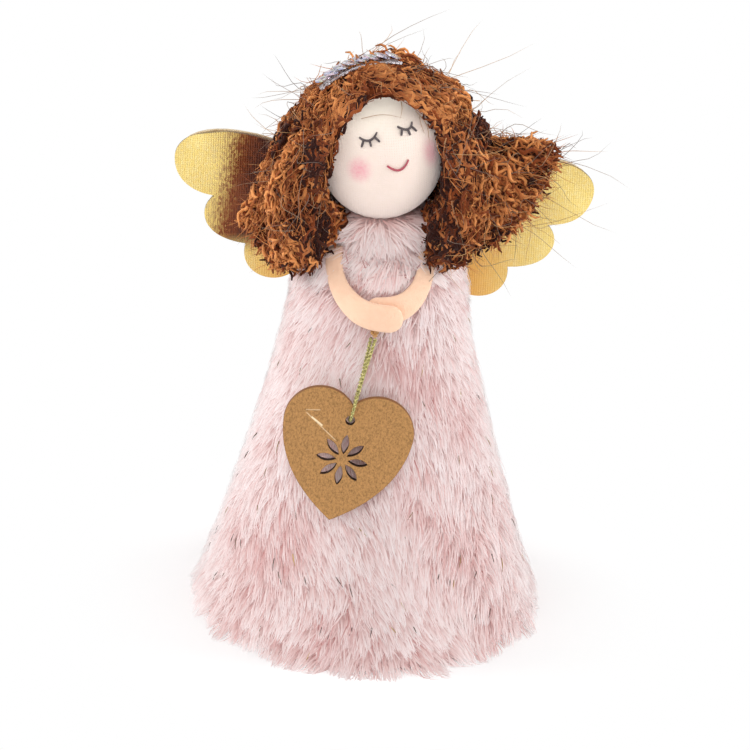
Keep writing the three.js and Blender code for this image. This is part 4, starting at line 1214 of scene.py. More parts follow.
def arm_line(side, reach, lift_at_hand, steps):
    """The middle line of one arm on the chest, with the ways out there."""
    along = np.linspace(0, 1, steps)
    bend = np.minimum(along / ARM_BEND, 1) * math.pi / 2
    past = np.maximum(along - ARM_BEND, 0) / ARM_HAND
    x = side * (ARM_ASIDE * np.maximum(np.cos(bend), 0) ** ARM_ASIDE_POWER - past * reach)
    dip = RIGHT_HAND_DIP * smooth(0.5, 1.0, along) if side < 0 else 0
    height = ARM_TOP - ARM_DROP * np.sin(bend) - dip
    lift = ARM_LIFT + lift_at_hand * smooth(0.35, 0.75, along)
    radius = skirt_radius(height)
    y = -np.sqrt(np.maximum(radius**2 - x**2, 0))
    out = unit(np.stack([x / radius, y / radius, -skirt_slope(height)], -1))
    return np.stack([x, y, height], -1) + out * lift[:, None], out


def arm_width(along):
    """Half an arm's width: it swells towards the hand."""
    return WRIST_HALF + HAND_SWELL * smooth(0.2, 0.8, along)


def clear_of_arms(paths):
    """Which fibres leave the arms and the hands uncovered. The shoulders may be covered."""
    steps, shoulder = 40, 11
    keep = np.ones(len(paths), bool)
    rows = np.arange(len(paths))
    for side, reach, lift in ARMS.values():
        line, out = arm_line(side, reach, lift, steps)
        wide = arm_width(np.linspace(0, 1, steps))[shoulder:] + ARM_ROOM
        line, out = line[shoulder:], out[shoulder:]
        for step in range(1, paths.shape[1]):
            gap = paths[:, step, None] - line[None]
            distance = np.linalg.norm(gap, axis=-1)
            nearest = distance.argmin(1)
            height = (gap[rows, nearest] * out[nearest]).sum(-1)
            level = np.sqrt(np.maximum(distance[rows, nearest] ** 2 - height**2, 0))
            keep &= ~((level < wide[nearest]) & (height > BEHIND_ARM))
    return keep


def clear_of_heart(paths):
    """Which fibres stay behind the heart and the cord."""
    gap = paths - np.array(HOLE)
    out = gap @ np.array(PLANE_OUT)
    x, y = leaned(gap[..., 0], gap @ np.array(PLANE_UP), -HEART_LEAN)
    over_heart = (np.abs(x) < np.interp(y, *HEART_ROOM, left=0, right=0)) & (out > BEHIND_HEART)
    up = np.array((KNOT - HOLE).normalized())
    rise = gap @ up
    aside = gap @ np.cross(up, np.array(PLANE_OUT))
    over_cord = (np.abs(aside) < CORD_ROOM) & (rise > 0) & (rise < CORD_TOP) & (out > BEHIND_CORD)
    return ~(over_heart | over_cord).any(1)


def clear_in_front(paths):
    return clear_of_arms(paths) & clear_of_heart(paths)


def trimmed(paths, clear):
    """Fibres cut shorter where they would hide what lies in front, and which of them are left."""
    left = np.zeros(len(paths), bool)
    cut = paths.copy()
    for share in CUTS:
        shorter = paths[:, :1] + (paths - paths[:, :1]) * share
        fits = ~left & clear(shorter)
        cut[fits] = shorter[fits]
        left |= fits
    return cut, left


def pile_pieces(name, paths, tones, out, keep, settings, finish):
    """The kept fibres of tufts as meshes of a limited size, which cast no shadow."""
    cloth = np.tile(out, (settings.per_tuft, 1))[keep]
    paths, tones = paths[keep], clip_tones(tones[keep])
    for index, mine in enumerate(even_slices(len(paths), PIECE_FIBRES)):
        radii = np.broadcast_to(settings.fibre * FIBRE_SHARES, (len(paths[mine]), len(FIBRE_SHARES)))
        shape = tubes(paths[mine], radii, 3, tones[mine], cloth=cloth[mine])
        piece = new_piece(f"{name}_{index + 1:02d}", *shape)
        piece.visible_shadow = False
        finish_piece(piece, finish, "angel", "plush")


def tuft_tones(rng, tones, paths, settings, spread):
    """A tone for each fibre, near its tuft's own."""
    return np.tile(tones, settings.per_tuft) + rng.normal(0, spread, len(paths))


class SkirtOperator(bpy.types.Operator):
    """Make the plush skirt: its backing, its pile and the flecks among it"""

    bl_idname = "angel.skirt"
    bl_label = "Plush skirt"

    def execute(self, context):
        settings = context.scene.angel_plush
        self.backing(settings)
        rng = np.random.default_rng(11)
        angle, height = skirt_spots(rng, settings.tufts, 0.0022, PILE_TOP)
        place, ways = skirt_frame(angle, height, settings.depth + 0.0008)
        lean, stand = swirl(angle, height)
        pile = settings.pile * (1 + 0.35 * smooth(0.014, 0.003, height) * ripple(place, 0.004, 26))
        paths = pile_paths(rng, place, ways, lean, stand, pile, settings.per_tuft, 0.0013)
        tones = 0.56 + 0.22 * ripple(place, 0.010, 21) + rng.normal(0, 0.14, len(place))
        tones = tuft_tones(rng, tones, paths, settings, 0.12)
        paths[..., 2] = np.maximum(paths[..., 2], 0.0002)
        paths, keep = trimmed(paths, clear_in_front)
        keep = np.flatnonzero(keep)
        keep = keep[np.argsort(np.arctan2(paths[keep, 0, 0], -paths[keep, 0, 1]), kind="stable")]
        finish = pile_finish("Plush pile", settings.root[:], settings.middle[:], settings.tip[:])
        pile_pieces("fur_skirt_pile", paths, tones, ways[0], keep, settings, finish)
        self.flecks(settings)
        return {"FINISHED"}

    def backing(self, settings):
        """The plush cloth itself, with its hem folded up inside the cone."""
        skirt = np.linspace(BACKING_LOW, SHOULDER_HEIGHT, 60)
        shoulder = SHOULDER_HEIGHT + BACKING_SHOULDER * np.sin(np.linspace(0.03, 1.5, 18))
        heights = np.concatenate([skirt, shoulder])
        outside = [(float(skirt_radius(h) - settings.depth), float(h)) for h in heights]
        profile = [*BACKING_HEM, *outside, *BACKING_INSIDE, BACKING_HEM[0]]
        piece = turned_shell("fur_skirt_backing", profile, 180)
        self.raise_tufts(piece.data, settings)
        finish_piece(piece, backing_finish("Plush undercoat", settings), "angel", "plush", "fur_skirt")

    def raise_tufts(self, mesh, settings):
        """Soft hollows and swells in the undercoat."""
        points = mesh_points(mesh)
        radius = np.hypot(points[:, 0], points[:, 1])
        outer = np.abs(radius - skirt_radius(points[:, 2]) + settings.depth) < 1e-4
        outer &= (points[:, 2] > 0.001) & (points[:, 2] < 0.095)
        points += (outer * 0.0005 * ripple(points, 0.0042, 25))[:, None] * unit(points * LEVEL)
        set_mesh_points(mesh, points)

    def flecks(self, settings):
        """Short glinting fibres: some lie in rows near the hem, the rest anywhere."""
        rng = np.random.default_rng(17)
        number = settings.flecks
        angle, height = skirt_spots(rng, number, 0.004, 0.092)
        rows = rng.uniform(0, 1, number) < ROW_SHARE
        levels = np.where(rng.uniform(0, 1, number) < 0.5, *FLECK_ROWS)
        height = np.where(rows, levels + rng.normal(0, 0.0008, number), height)
        place, (out, down, sideways) = skirt_frame(angle, height, -0.0009)
        lean = swirl(angle, height)[0] + rng.normal(0, 0.25, number)
        way = unit(down + 0.75 * out + lean[:, None] * sideways)
        size = rng.uniform(0.0020, 0.0034, number)
        steps = np.linspace(0, 1, 3)[None, :, None]
        paths = place[:, None] + way[:, None] * size[:, None, None] * steps - 0.0005 * out[:, None] * steps**2
        keep = clear_in_front(paths)
        tones = np.where(rows, 0.05, rng.uniform(TONE_LOW, TONE_HIGH, number) ** 1.3)
        radii = np.broadcast_to([0.00012, 0.00012, 0.00004], (int(keep.sum()), 3))
        flecks = new_piece("fur_skirt_flecks", *tubes(paths[keep], radii, 3, tones[keep], False))
        finish_piece(flecks, fleck_finish(), "angel", "plush")


def collar_ring(turn):
    """The collar's radius and height, by the angle up its rounded side."""
    radius = COLLAR_INSIDE + COLLAR_REACH * np.cos(turn) ** COLLAR_ROUND
    return radius, COLLAR_HEIGHT + COLLAR_HALF * np.sin(turn)


class CollarOperator(bpy.types.Operator):
    """Make the plush collar under the chin"""

    bl_idname = "angel.collar"
    bl_label = "Plush collar"

    def execute(self, context):
        settings = context.scene.angel_plush
        self.backing(settings)
        # The collar's pile is painted paler than the skirt's: painted light against the shade of the head.
        finish = pile_finish("Collar pile, painted paler", srgb(238, 200, 196), srgb(254, 233, 230), srgb(255, 247, 246))
        self.ruff(settings, finish)
        self.bib(settings, finish)
        return {"FINISHED"}

    def backing(self, settings):
        radii, heights = collar_ring(np.linspace(-math.pi / 2, math.pi / 2, 13))
        outside = list(zip(radii.tolist(), heights.tolist()))
        backing = turned_shell("fur_collar_backing", [*outside, outside[0]], 64)
        finish_piece(backing, backing_finish("Collar undercoat", settings), "angel", "plush", "fur_collar")

    def ruff(self, settings, finish):
        """Pile that stands out of the collar and parts in front."""
        rng = np.random.default_rng(23)
        number = settings.collar_tufts
        angle = rng.uniform(-math.pi, math.pi, number)
        level = rng.uniform(-1.2, 0.9, number)
        around, sideways = ring_ways(angle)
        radius, height = collar_ring(level)
        place = around * radius[:, None] + RISE * height[:, None]
        out = unit(around * np.cos(level)[:, None] + RISE * np.sin(level)[:, None])
        down = unit(np.cross(sideways, out))
        down = down * np.where(down[:, 2:] > 0, -1, 1)
        lean = 1.3 * np.tanh(2.5 * np.sin(angle + 0.05)) + 0.35 * ripple(place, 0.006, 31)
        stand = 0.1 + 0.2 * ripple(place, 0.006, 32)
        pile = settings.pile * rng.uniform(0.8, 1.15, number)
        ways = (out, down, sideways)
        paths = pile_paths(rng, place, ways, lean, stand, pile, settings.per_tuft, 0.0010)
        # The collar's tufts start paler than the skirt's: painted light.
        tones = tuft_tones(rng, 0.62 + 0.2 * ripple(place, 0.007, 33), paths, settings, 0.18)
        inside = enters_head(paths, 0.0002)
        paths, keep = trimmed(paths, clear_of_arms)
        pile_pieces("fur_collar_pile", paths, tones, out, keep & ~inside, settings, finish)

    def bib(self, settings, finish):
        """Longer pile that falls from under the collar over the chest, as far as the arms."""
        rng = np.random.default_rng(29)
        number = settings.bib_tufts
        angle = rng.uniform(-1.15, 1.15, number)
        height = 0.0945 + 0.0032 * rng.uniform(0, 1, number)
        place, (out, down, sideways) = skirt_frame(angle, np.minimum(height, PILE_TOP), 0.0008)
        out = unit(out * LEVEL + 0.25 * RISE)
        down = unit(0.3 * down - RISE)
        lean = 0.3 * np.sin(angle) + 0.25 * ripple(place, 0.005, 34)
        stand = 0.1 + 0.15 * ripple(place, 0.004, 35)
        pile = settings.pile * rng.uniform(0.8, 1.3, number)
        ways = (out, down, sideways)
        paths = pile_paths(rng, place, ways, lean, stand, pile, settings.per_tuft, 0.0009)
        # The bib's tufts start paler than the skirt's: painted light.
        tones = tuft_tones(rng, 0.62 + 0.2 * ripple(place, 0.005, 36), paths, settings, 0.15)
        paths, keep = trimmed(paths, clear_of_arms)
        pile_pieces("fur_bib_pile", paths, tones, out, keep, settings, finish)


# Head

# The stitched lines, in degrees on the head's ball.
EYE_AZIMUTH, EYE_HEIGHT, EYE_HALF, EYE_SAG = 19.8, 22.5, 9, 5.5
LASHES, LASH_REACH = (-0.6, 0, 0.6), 6
MOUTH_HEIGHT, MOUTH_HALF, MOUTH_SAG = -10, 10.5, 7
STITCH_RADIUS = HEAD_RADIUS + 0.0002
THREAD_POINTS = 20
# The gathers of the cloth under the chin.
GATHER_TOP, GATHER_FULL = -0.010, -0.0145
GATHERS, GATHER_DEPTH = 18, 0.006


class HeadOperator(bpy.types.Operator):
    """Make the cloth head and its stitched face"""

    bl_idname = "angel.head"
    bl_label = "Head"

    def execute(self, context):
        settings = context.scene.angel_face
        self.cover(settings)
        eyes = thread_finish("Eye thread", settings.eye[:])
        for side, name in ((1, "eye_stitch_left"), (-1, "eye_stitch_right")):
            middle = side * EYE_AZIMUTH
            lines = [self.sag(middle, EYE_HEIGHT, EYE_HALF, EYE_SAG)]
            lines += [self.lash(middle + across * EYE_HALF, across) for across in LASHES]
            self.threads(name, lines, settings, eyes, "dark_thread")
        mouth = thread_finish("Mouth thread", settings.mouth[:])
        smile = self.sag(0, MOUTH_HEIGHT, MOUTH_HALF, MOUTH_SAG)
        self.threads("mouth_stitch", [smile], settings, mouth, "red_thread")
        return {"FINISHED"}

    def sag(self, azimuth, elevation, half, sag):
        """A line that sags between its ends."""
        spread = np.linspace(-1, 1, 21)
        return [on_head(STITCH_RADIUS, azimuth + s * half, elevation - sag * (1 - s**2)) for s in spread]

    def lash(self, root, across):
        """A lash from the lid downwards, spread to its own side."""
        lid = EYE_HEIGHT - EYE_SAG * (1 - across**2)
        steps = np.linspace(0, 1, 9)
        return [on_head(STITCH_RADIUS, root + s * across * LASH_REACH, lid - s * LASH_REACH) for s in steps]

    def threads(self, name, lines, settings, finish, slot):
        """Stitched lines as one thread each, drawn thinner at the ends."""
        swell = settings.thread * (0.72 + 0.28 * np.sin(np.linspace(0.1, 1, THREAD_POINTS) * math.pi))
        points, faces, maps, first = [], [], [], 0
        for line in lines:
            path = spline([tuple(p) for p in line], THREAD_POINTS)
            shape, rows, uv = tubes(path[None], swell[None], 8, np.array([0.4]), False)
            points.append(shape)
            faces += [row + first for row in rows]
            maps.append(uv)
            first += len(shape)
        piece = new_piece(f"{name}_thread", np.vstack(points), faces, np.vstack(maps))
        finish_piece(piece, finish, "angel", slot, name)

    def cover(self, settings):
        """A ball of knit cloth, drawn in under the chin."""
        deselect()
        bpy.ops.mesh.primitive_uv_sphere_add(
            segments=96, ring_count=64, radius=HEAD_RADIUS, location=HEAD_CENTRE
        )
        cover = bpy.context.object
        bpy.ops.object.transform_apply(location=True, rotation=True, scale=True)
        cover.name = cover.data.name = "face_cover_cloth"
        gap = mesh_points(cover.data) - HEAD
        under = smooth(GATHER_TOP, GATHER_FULL, gap[:, 2])
        turn = np.arctan2(gap[:, 1], gap[:, 0])
        gap *= (1 + GATHER_DEPTH * under * np.sin(turn * GATHERS))[:, None]
        gap *= (1 + 0.004 * ripple(gap, 0.012, 41))[:, None]
        set_mesh_points(cover.data, gap + HEAD)
        pick(cover)
        bpy.ops.object.shade_smooth()
        finish_piece(cover, face_finish(settings), "angel", "face_cloth", "face_cover")


# Hair

# The hairline round the face, as heights over the head's centre and the hair's edge on both sides there.
HAIRLINE_RIGHT = (
    (
        -0.024, -0.0195, -0.0165, -0.0130, -0.0108, -0.0061, -0.0013,
        0.0027, 0.0058, 0.0090, 0.0115, 0.0128, 0.0134,
    ),
    (
        -0.0130, -0.0100, -0.0080, -0.0080, -0.0116, -0.0117, -0.0100,
        -0.0097, -0.0083, -0.0061, -0.0039, -0.0016, 0.0015,
    ),
)
HAIRLINE_LEFT = (
    (-0.020, -0.0128, -0.0106, -0.0064, -0.0025, 0.0014, 0.0052, 0.0075, 0.0097, 0.0123, 0.0134),
    (0.0116, 0.0112, 0.0126, 0.0141, 0.0142, 0.0133, 0.0116, 0.0104, 0.0087, 0.0054, 0.0015),
)
# The outer edge of the hair on the doll's right, in the same way, and the height that it starts from.
HAIR_EDGE = (
    (-0.010, -0.0029, 0.0031, 0.0090, 0.0131, 0.0162, 0.0202),
    (-0.0321, -0.0281, -0.0248, -0.0226, -0.0198, -0.0167, -0.0119),
)
EDGE_START = 0.002
# The face's plane, the top of the forehead and how far in front of the head's centre the face starts.
FACE_TILT = math.radians(27)
FACE_OUT = np.array((0, -math.cos(FACE_TILT), math.sin(FACE_TILT)))
FACE_UP = np.array((0, math.sin(FACE_TILT), math.cos(FACE_TILT)))
BROW_HEIGHT = 0.0134
FACE_FRONT = 0.001
# The band round the face whose curls let the room's light through.
FRINGE_WIDTH, FRINGE_LOW, FRINGE_HIGH, FRINGE_FRONT = 0.006, -0.024, 0.0215, -0.002
# How much darker the fringe's curls are painted: painted shade in place of the shade that they don't cast.
FRINGE_SHADE = 0.13

# The parting on the crown, across from the head's middle, and the width over which the hair turns there.
PARTING_ACROSS, PARTING_WIDTH = -0.004, 0.008
# How far the cores lie under the solids' surface and how far they stay clear of the hair's edges.
CORE_DEPTH, CORE_CLEAR = 0.0017, 0.0012
# How thick a curl is along its length, and the most curls in one mesh.
CURL_SHARES = np.array([0.5, 0.9, 1.0, 1.0, 1.0, 1.0, 1.0, 0.85, 0.45])
PIECE_CURLS = 2800
CURL_SEEDS = {"hair_crown": 61, "hair_right": 62, "hair_left": 63}
# The share of the wisps and of the stray hairs on each solid.
WISP_SHARES = {"hair_crown": 0.46, "hair_right": 0.27, "hair_left": 0.27}
STRAY_SHARES = {"hair_crown": 0.42, "hair_right": 0.22, "hair_left": 0.36}
WISP_RADII = np.array([0.6, 1, 1, 0.9, 0.7, 0]) * 0.00009
STRAY_RADII = np.array([1, 1, 0.95, 0.85, 0.7, 0.5, 0]) * 0.000085

# Loose hairs over the forehead, each drawn by three points across and up the face, and their tones.
BROW_HAIRS = (
    ((0.0040, 0.0132), (0.0044, 0.0108), (0.0040, 0.0084)),
    ((-0.0050, 0.0082), (0.0000, 0.0094), (0.0050, 0.0088)),
    ((0.0085, 0.0095), (0.0092, 0.0070), (0.0102, 0.0050)),
    ((0.0075, 0.0108), (0.0102, 0.0078), (0.0112, 0.0030)),
)
BROW_TONES = (0.9, 0.8, 0.7, 0.9)
BROW_RADIUS = HEAD_RADIUS + 0.0004


def node_triangles(name):
    """A solid's triangles as an array of shape (triangle, corner, 3)."""
    mesh = frame["nodes"][name].data
    mesh.calc_loop_triangles()
    corners = np.empty(len(mesh.loop_triangles) * 3, np.int32)
    mesh.loop_triangles.foreach_get("vertices", corners)
    return mesh_points(mesh)[corners.reshape(-1, 3)]


def wide_normals(triangles):
    """The ways out of triangles, as long as twice their area."""
    return np.cross(triangles[:, 1] - triangles[:, 0], triangles[:, 2] - triangles[:, 0])


def scatter(rng, triangles, number):
    """Random places on triangles, spread by area, with the ways out there."""
    wide = wide_normals(triangles)
    area = np.linalg.norm(wide, axis=1)
    chosen = rng.choice(len(triangles), number, p=area / area.sum())
    a, b = rng.uniform(0, 1, (2, number, 1))
    a, b = np.where(a + b > 1, 1 - a, a), np.where(a + b > 1, 1 - b, b)
    corner = triangles[chosen]
    place = corner[:, 0] + a * (corner[:, 1] - corner[:, 0]) + b * (corner[:, 2] - corner[:, 0])
    return place, unit(wide[chosen])


def outer_triangles(name):
    """The triangles of a hair solid that can be seen: clear of the head and, on the crown, facing away."""
    triangles = node_triangles(name)
    gap = triangles.mean(1) - HEAD
    facing = unit(wide_normals(triangles))
    far = np.linalg.norm(gap, axis=1) > HEAD_RADIUS + 0.0012
    return triangles[far & (((facing * unit(gap)).sum(1) > -0.35) | (name != "hair_crown"))]


def lock_lines(name, number):
    """The locks of a bunch as points along each, from the head to the tips."""
    *rows, tips = BUNCHES[name]
    lines = []
    for share in np.linspace(0, 1, number):
        points = [np.array(first) * (1 - share) + np.array(last) * share for first, last in rows]
        lines.append(spline(np.array([*points, bow(*tips, share)]) + HEAD, 14))
    return np.array(lines)


def crown_flow(place, out):
    """Hair falls to both sides from a parting over the top of the head."""
    across = in_head(place)[:, 0]
    side = np.where(across > PARTING_ACROSS, 1.0, -1.0)
    side = side * smooth(0.0, PARTING_WIDTH, np.abs(across - PARTING_ACROSS))
    down = np.stack([side * 0.9, np.full(len(place), 0.1), -np.ones(len(place))], -1)
    down = down @ np.array(HEAD_TURN).T
    return unit(down - dot(down, out) * out)


def bunch_flow(name):
    """A function for the way that a bunch's hair flows at places in it."""
    lines = lock_lines(name, 11)
    ways = unit(np.gradient(lines, axis=1)).reshape(-1, 3)
    spots = lines.reshape(-1, 3)

    def flow(place, out):
        nearest = np.linalg.norm(place[:, None] - spots[None], axis=-1).argmin(1)
        return ways[nearest]

    return flow


def face_places(points):
    """Points from the head's centre: across, up and out of the face, with the hairline's edges there."""
    gap = points - HEAD
    across, up, out = gap[..., 0], gap @ FACE_UP, gap @ FACE_OUT
    return across, up, out, np.interp(up, *HAIRLINE_RIGHT), np.interp(up, *HAIRLINE_LEFT)


def in_face(points, margin=0.0):
    """Which points lie within the hairline, or nearer to it than the margin."""
    across, up, out, right, left = face_places(points)
    return (out > FACE_FRONT) & (across > right - margin) & (across < left + margin) & (up < BROW_HEIGHT)


def over_face(paths):
    """Which curls hang over the face."""
    return in_face(paths).any(1)


def by_face(paths):
    """Which curls lie round the face."""
    across, up, out, right, left = face_places(paths)
    near = (out > FRINGE_FRONT) & (across > right - FRINGE_WIDTH) & (across < left + FRINGE_WIDTH)
    return (near & (up < FRINGE_HIGH) & (up > FRINGE_LOW)).any(1)


def curls(rng, place, out, flow, settings):
    """Short crinkled worms of yarn that wander along the hair's flow."""
    number, points = len(place), len(CURL_SHARES)
    stray = unit(rng.normal(size=(number, 3)))
    lock = ripple(place, 0.0050, 51)
    way = unit(flow + 0.8 * stray)
    way = unit(way - 0.8 * dot(way, out) * out)
    first = unit(np.cross(way, out))
    second = np.cross(way, first)
    steps = np.linspace(0, 1, points)[None]
    swing = settings.swing * rng.uniform(0.4, 1.3, (2, number, 1))
    turns = rng.uniform(0.8, 2.2, (2, number, 1))
    phase = rng.uniform(0, 2 * math.pi, (2, number, 1))
    wind = (swing * np.sin(2 * math.pi * turns * steps[None] + phase))[..., None]
    heading = unit(way[:, None] + first[:, None] * wind[0] + second[:, None] * 0.8 * wind[1])
    size = settings.curl * rng.uniform(0.6, 1.25, number)
    depth = rng.normal(0.0, 0.0006, number)
    inward = -np.sign(place[:, 0]) * out[:, 0] * smooth(0.112, 0.106, place[:, 2])
    hidden = smooth(0.1, 0.7, inward)
    lift = -0.0014 + 0.0012 * lock + depth
    lift = lift + 0.0042 * hidden * rng.uniform(0, 1, number)
    paths = np.cumsum(heading, 1) * (size / points)[:, None, None]
    paths = paths - paths.mean(1, keepdims=True) + (place + out * lift[:, None])[:, None]
    # Painted shade: curls that lie deeper, in low locks or below the rest, are darker, and so are the curls
    # that face in beside the neck.
    tones = 0.50 + 0.13 * lock + 0.08 * ripple(place, 0.011, 52) + 330 * depth
    tones = tones + rng.normal(0, 0.27, number) - 0.3 * hidden
    return paths, clip_tones(tones)


def curl_radii(rng, number, settings):
    return settings.thickness * rng.uniform(0.65, 1.25, (number, 1)) * CURL_SHARES


class HairOperator(bpy.types.Operator):
    """Make the yarn hair: dark cores, curls over them and fine stray hairs"""

    bl_idname = "angel.hair"
    bl_label = "Yarn hair"

    def execute(self, context):
        settings = context.scene.angel_hair
        core = core_finish(settings)
        yarn = yarn_finish("Curly yarn", settings)
        flows = {"hair_crown": crown_flow, **{name: bunch_flow(name) for name in BUNCHES}}
        for name in flows:
            self.core(name, core)
        for name, flow in flows.items():
            number = settings.bunch_curls if name in BUNCHES else settings.crown_curls * 2
            self.cover(name, flow, number, settings, yarn)
        self.nape(settings, yarn)
        self.wisps(flows, settings)
        self.strays(flows, settings)
        return {"FINISHED"}

    def core(self, name, finish):
        """A copy of the solid, drawn in a little so that the curls lie over it."""
        piece = node_copy(f"{name}_core", name)
        with edited(piece):
            bpy.ops.mesh.remove_doubles(threshold=NODE_MERGE)
            bpy.ops.transform.shrink_fatten(value=-CORE_DEPTH)
        bpy.ops.object.shade_smooth()
        points = mesh_points(piece.data)
        across, up, _, right, left = face_places(points)
        aside = np.where(across < (right + left) / 2, right - CORE_CLEAR, left + CORE_CLEAR)
        inside = in_face(points, CORE_CLEAR)
        points[:, 0] = np.where(inside, HEAD_CENTRE.x + aside, points[:, 0])
        edge = np.interp(up, *HAIR_EDGE) + CORE_CLEAR
        points[:, 0] = np.where((up > EDGE_START) & (across < edge), HEAD_CENTRE.x + edge, points[:, 0])
        set_mesh_points(piece.data, points)
        piece.visible_shadow = piece.visible_diffuse = name != "hair_crown"
        finish_piece(piece, finish, "angel", "yarn", name)

    def cover(self, name, flow, number, settings, finish):
        """Curls all over one solid. Those round the face are a piece of their own, which dims no light."""
        rng = np.random.default_rng(CURL_SEEDS[name])
        place, out = scatter(rng, outer_triangles(name), number)
        paths, tones = curls(rng, place, out, flow(place, out), settings)
        across, up, *_ = face_places(paths)
        beyond = ((up > EDGE_START) & (across < np.interp(up, *HAIR_EDGE) - 0.0006)).any(1)
        keep = ~enters_head(paths, settings.thickness) & ~over_face(paths) & ~beyond
        if name == "hair_left":
            tones = tones - 0.04 - 0.13 * smooth(0.024, 0.016, across.mean(1))
        paths, tones = paths[keep], clip_tones(tones[keep])
        radii = curl_radii(rng, len(paths), settings)
        fringe = by_face(paths)
        # The fringe's curls are painted darker, as painted shade.
        tones = clip_tones(tones - FRINGE_SHADE * fringe)
        piece = new_piece(f"{name}_fringe", *tubes(paths[fringe], radii[fringe], 4, tones[fringe], False))
        piece.visible_shadow = piece.visible_diffuse = False
        finish_piece(piece, finish, "angel", "yarn")
        paths, tones, radii = paths[~fringe], tones[~fringe], radii[~fringe]
        for index, mine in enumerate(even_slices(len(paths), PIECE_CURLS)):
            shape = tubes(paths[mine], radii[mine], 4, tones[mine], False)
            piece = new_piece(f"{name}_curls_{index + 1:02d}", *shape)
            finish_piece(piece, finish, "angel", "yarn")

    def nape(self, settings, finish):
        """Curls that close in on the neck from both sides, under the chin."""
        rng = np.random.default_rng(67)
        number = settings.nape_curls
        up = rng.uniform(-0.0235, -0.0115, number)
        left = np.arange(number) % 2 == 1
        edge = np.where(left, np.interp(up, *HAIRLINE_LEFT), np.interp(up, *HAIRLINE_RIGHT))
        across = edge + np.where(left, 1, -1) * rng.uniform(0.0004, 0.0055, number)
        out = rng.normal(0.0008, 0.0012, number)
        place = HEAD + across[:, None] * ACROSS + up[:, None] * FACE_UP + out[:, None] * FACE_OUT
        facing = np.tile(FACE_OUT, (number, 1))
        fall = unit(-FACE_UP + np.where(left, 0.15, -0.15)[:, None] * ACROSS)
        paths, tones = curls(rng, place, facing, fall, settings)
        keep = ~enters_head(paths, settings.thickness) & ~over_face(paths)
        radii = curl_radii(rng, int(keep.sum()), settings)
        # Painted shade: the nape's curls are a little darker, under the chin.
        piece = new_piece("hair_nape_curls", *tubes(paths[keep], radii, 4, tones[keep] * 0.85, False))
        finish_piece(piece, finish, "angel", "yarn")

    def wisps(self, flows, settings):
        """Fine fibres of the yarn that lie over its curls."""
        rng = np.random.default_rng(73)
        steps = np.linspace(-0.4, 0.6, len(WISP_RADII))[None, :, None]
        paths = []
        for name, share in WISP_SHARES.items():
            number = int(settings.wisps * share)
            place, out = scatter(rng, outer_triangles(name), number)
            way = unit(flows[name](place, out) + 0.7 * rng.normal(size=(number, 3)))
            way = unit(way - 0.75 * dot(way, out) * out)
            bend = rng.normal(0, 0.5, (number, 3))
            size = rng.uniform(0.004, 0.010, number)[:, None, None]
            base = place + out * rng.uniform(-0.0006, 0.0008, number)[:, None]
            paths.append(base[:, None] + size * (way[:, None] * steps + bend[:, None] * steps**2))
        paths = np.concatenate(paths)
        paths = paths[~over_face(paths) & ~enters_head(paths, 0.0003)]
        radii = np.broadcast_to(WISP_RADII, (len(paths), len(WISP_RADII)))
        tones = rng.uniform(0.45, TONE_HIGH, len(paths))
        wisps = new_piece("hair_wisps", *tubes(paths, radii, 3, tones))
        finish_piece(wisps, yarn_finish("Yarn wisps", settings), "angel", "yarn")

    def strays(self, flows, settings):
        """Long fine hairs that stand out of the yarn."""
        rng = np.random.default_rng(71)
        steps = np.linspace(0, 1, len(STRAY_RADII))[None, :, None]
        paths, tones = [], []
        for name, share in STRAY_SHARES.items():
            number = int(settings.strays * share)
            place, out = scatter(rng, outer_triangles(name), number)
            way = unit(0.75 * flows[name](place, out) + 0.75 * out + 0.7 * rng.normal(size=(number, 3)))
            bend = rng.normal(0, 0.6, (number, 3)) - 0.1 * RISE
            size = rng.uniform(0.004, 0.014, number)[:, None, None]
            wave = 0.12 * rng.normal(size=(number, 1, 3)) * np.sin(5 * steps)
            paths.append(place[:, None] + size * (way[:, None] * steps + bend[:, None] * steps**2 + wave))
            tones.append(rng.uniform(TONE_LOW, TONE_HIGH, number))
        paths, tones = np.concatenate(paths), np.concatenate(tones)
        across, up, *_ = face_places(paths)
        astray = ((across < -0.030) & (up < -0.010)).any(1)
        keep = ~over_face(paths) & ~astray & (paths[..., 2].min(1) > 0.07)
        paths = np.concatenate([paths[keep], self.brow_hairs()])
        tones = np.concatenate([tones[keep], BROW_TONES])
        radii = np.broadcast_to(STRAY_RADII, (len(paths), len(STRAY_RADII)))
        strays = new_piece("hair_strays", *tubes(paths, radii, 3, tones))
        finish_piece(strays, stray_finish(), "angel", "yarn")

    def brow_hairs(self):
        """Loose hairs that lie on the forehead."""

        def on_face(x, up):
            out = math.sqrt(max(BROW_RADIUS**2 - x**2 - up**2, 0))
            return HEAD + x * ACROSS + up * FACE_UP + out * FACE_OUT

        lines = [[on_face(*point) for point in line] for line in BROW_HAIRS]
        return np.array([spline(line, len(STRAY_RADII)) for line in lines])


# Tiara


class TiaraOperator(bpy.types.Operator):
    """Dress the ribbon and the sequins over the hair"""

    bl_idname = "angel.tiara"
    bl_label = "Tiara"

    def execute(self, context):
        ribbon = node_copy("tiara_ribbon_woven", "tiara_ribbon")
        with edited(ribbon):
            bpy.ops.mesh.remove_doubles(threshold=NODE_MERGE)
            bpy.ops.mesh.tris_convert_to_quads()
            bpy.ops.mesh.subdivide(number_cuts=2)
        bpy.ops.object.shade_smooth_by_angle(angle=math.radians(50))
        finish_piece(ribbon, ribbon_finish(), "angel", "sequin", "tiara_ribbon")
        film = sequin_finish()
        for name in frame["nodes"]:
            if name.startswith("tiara_sequin"):
                dress_node(name, film)
        return {"FINISHED"}


# Wings

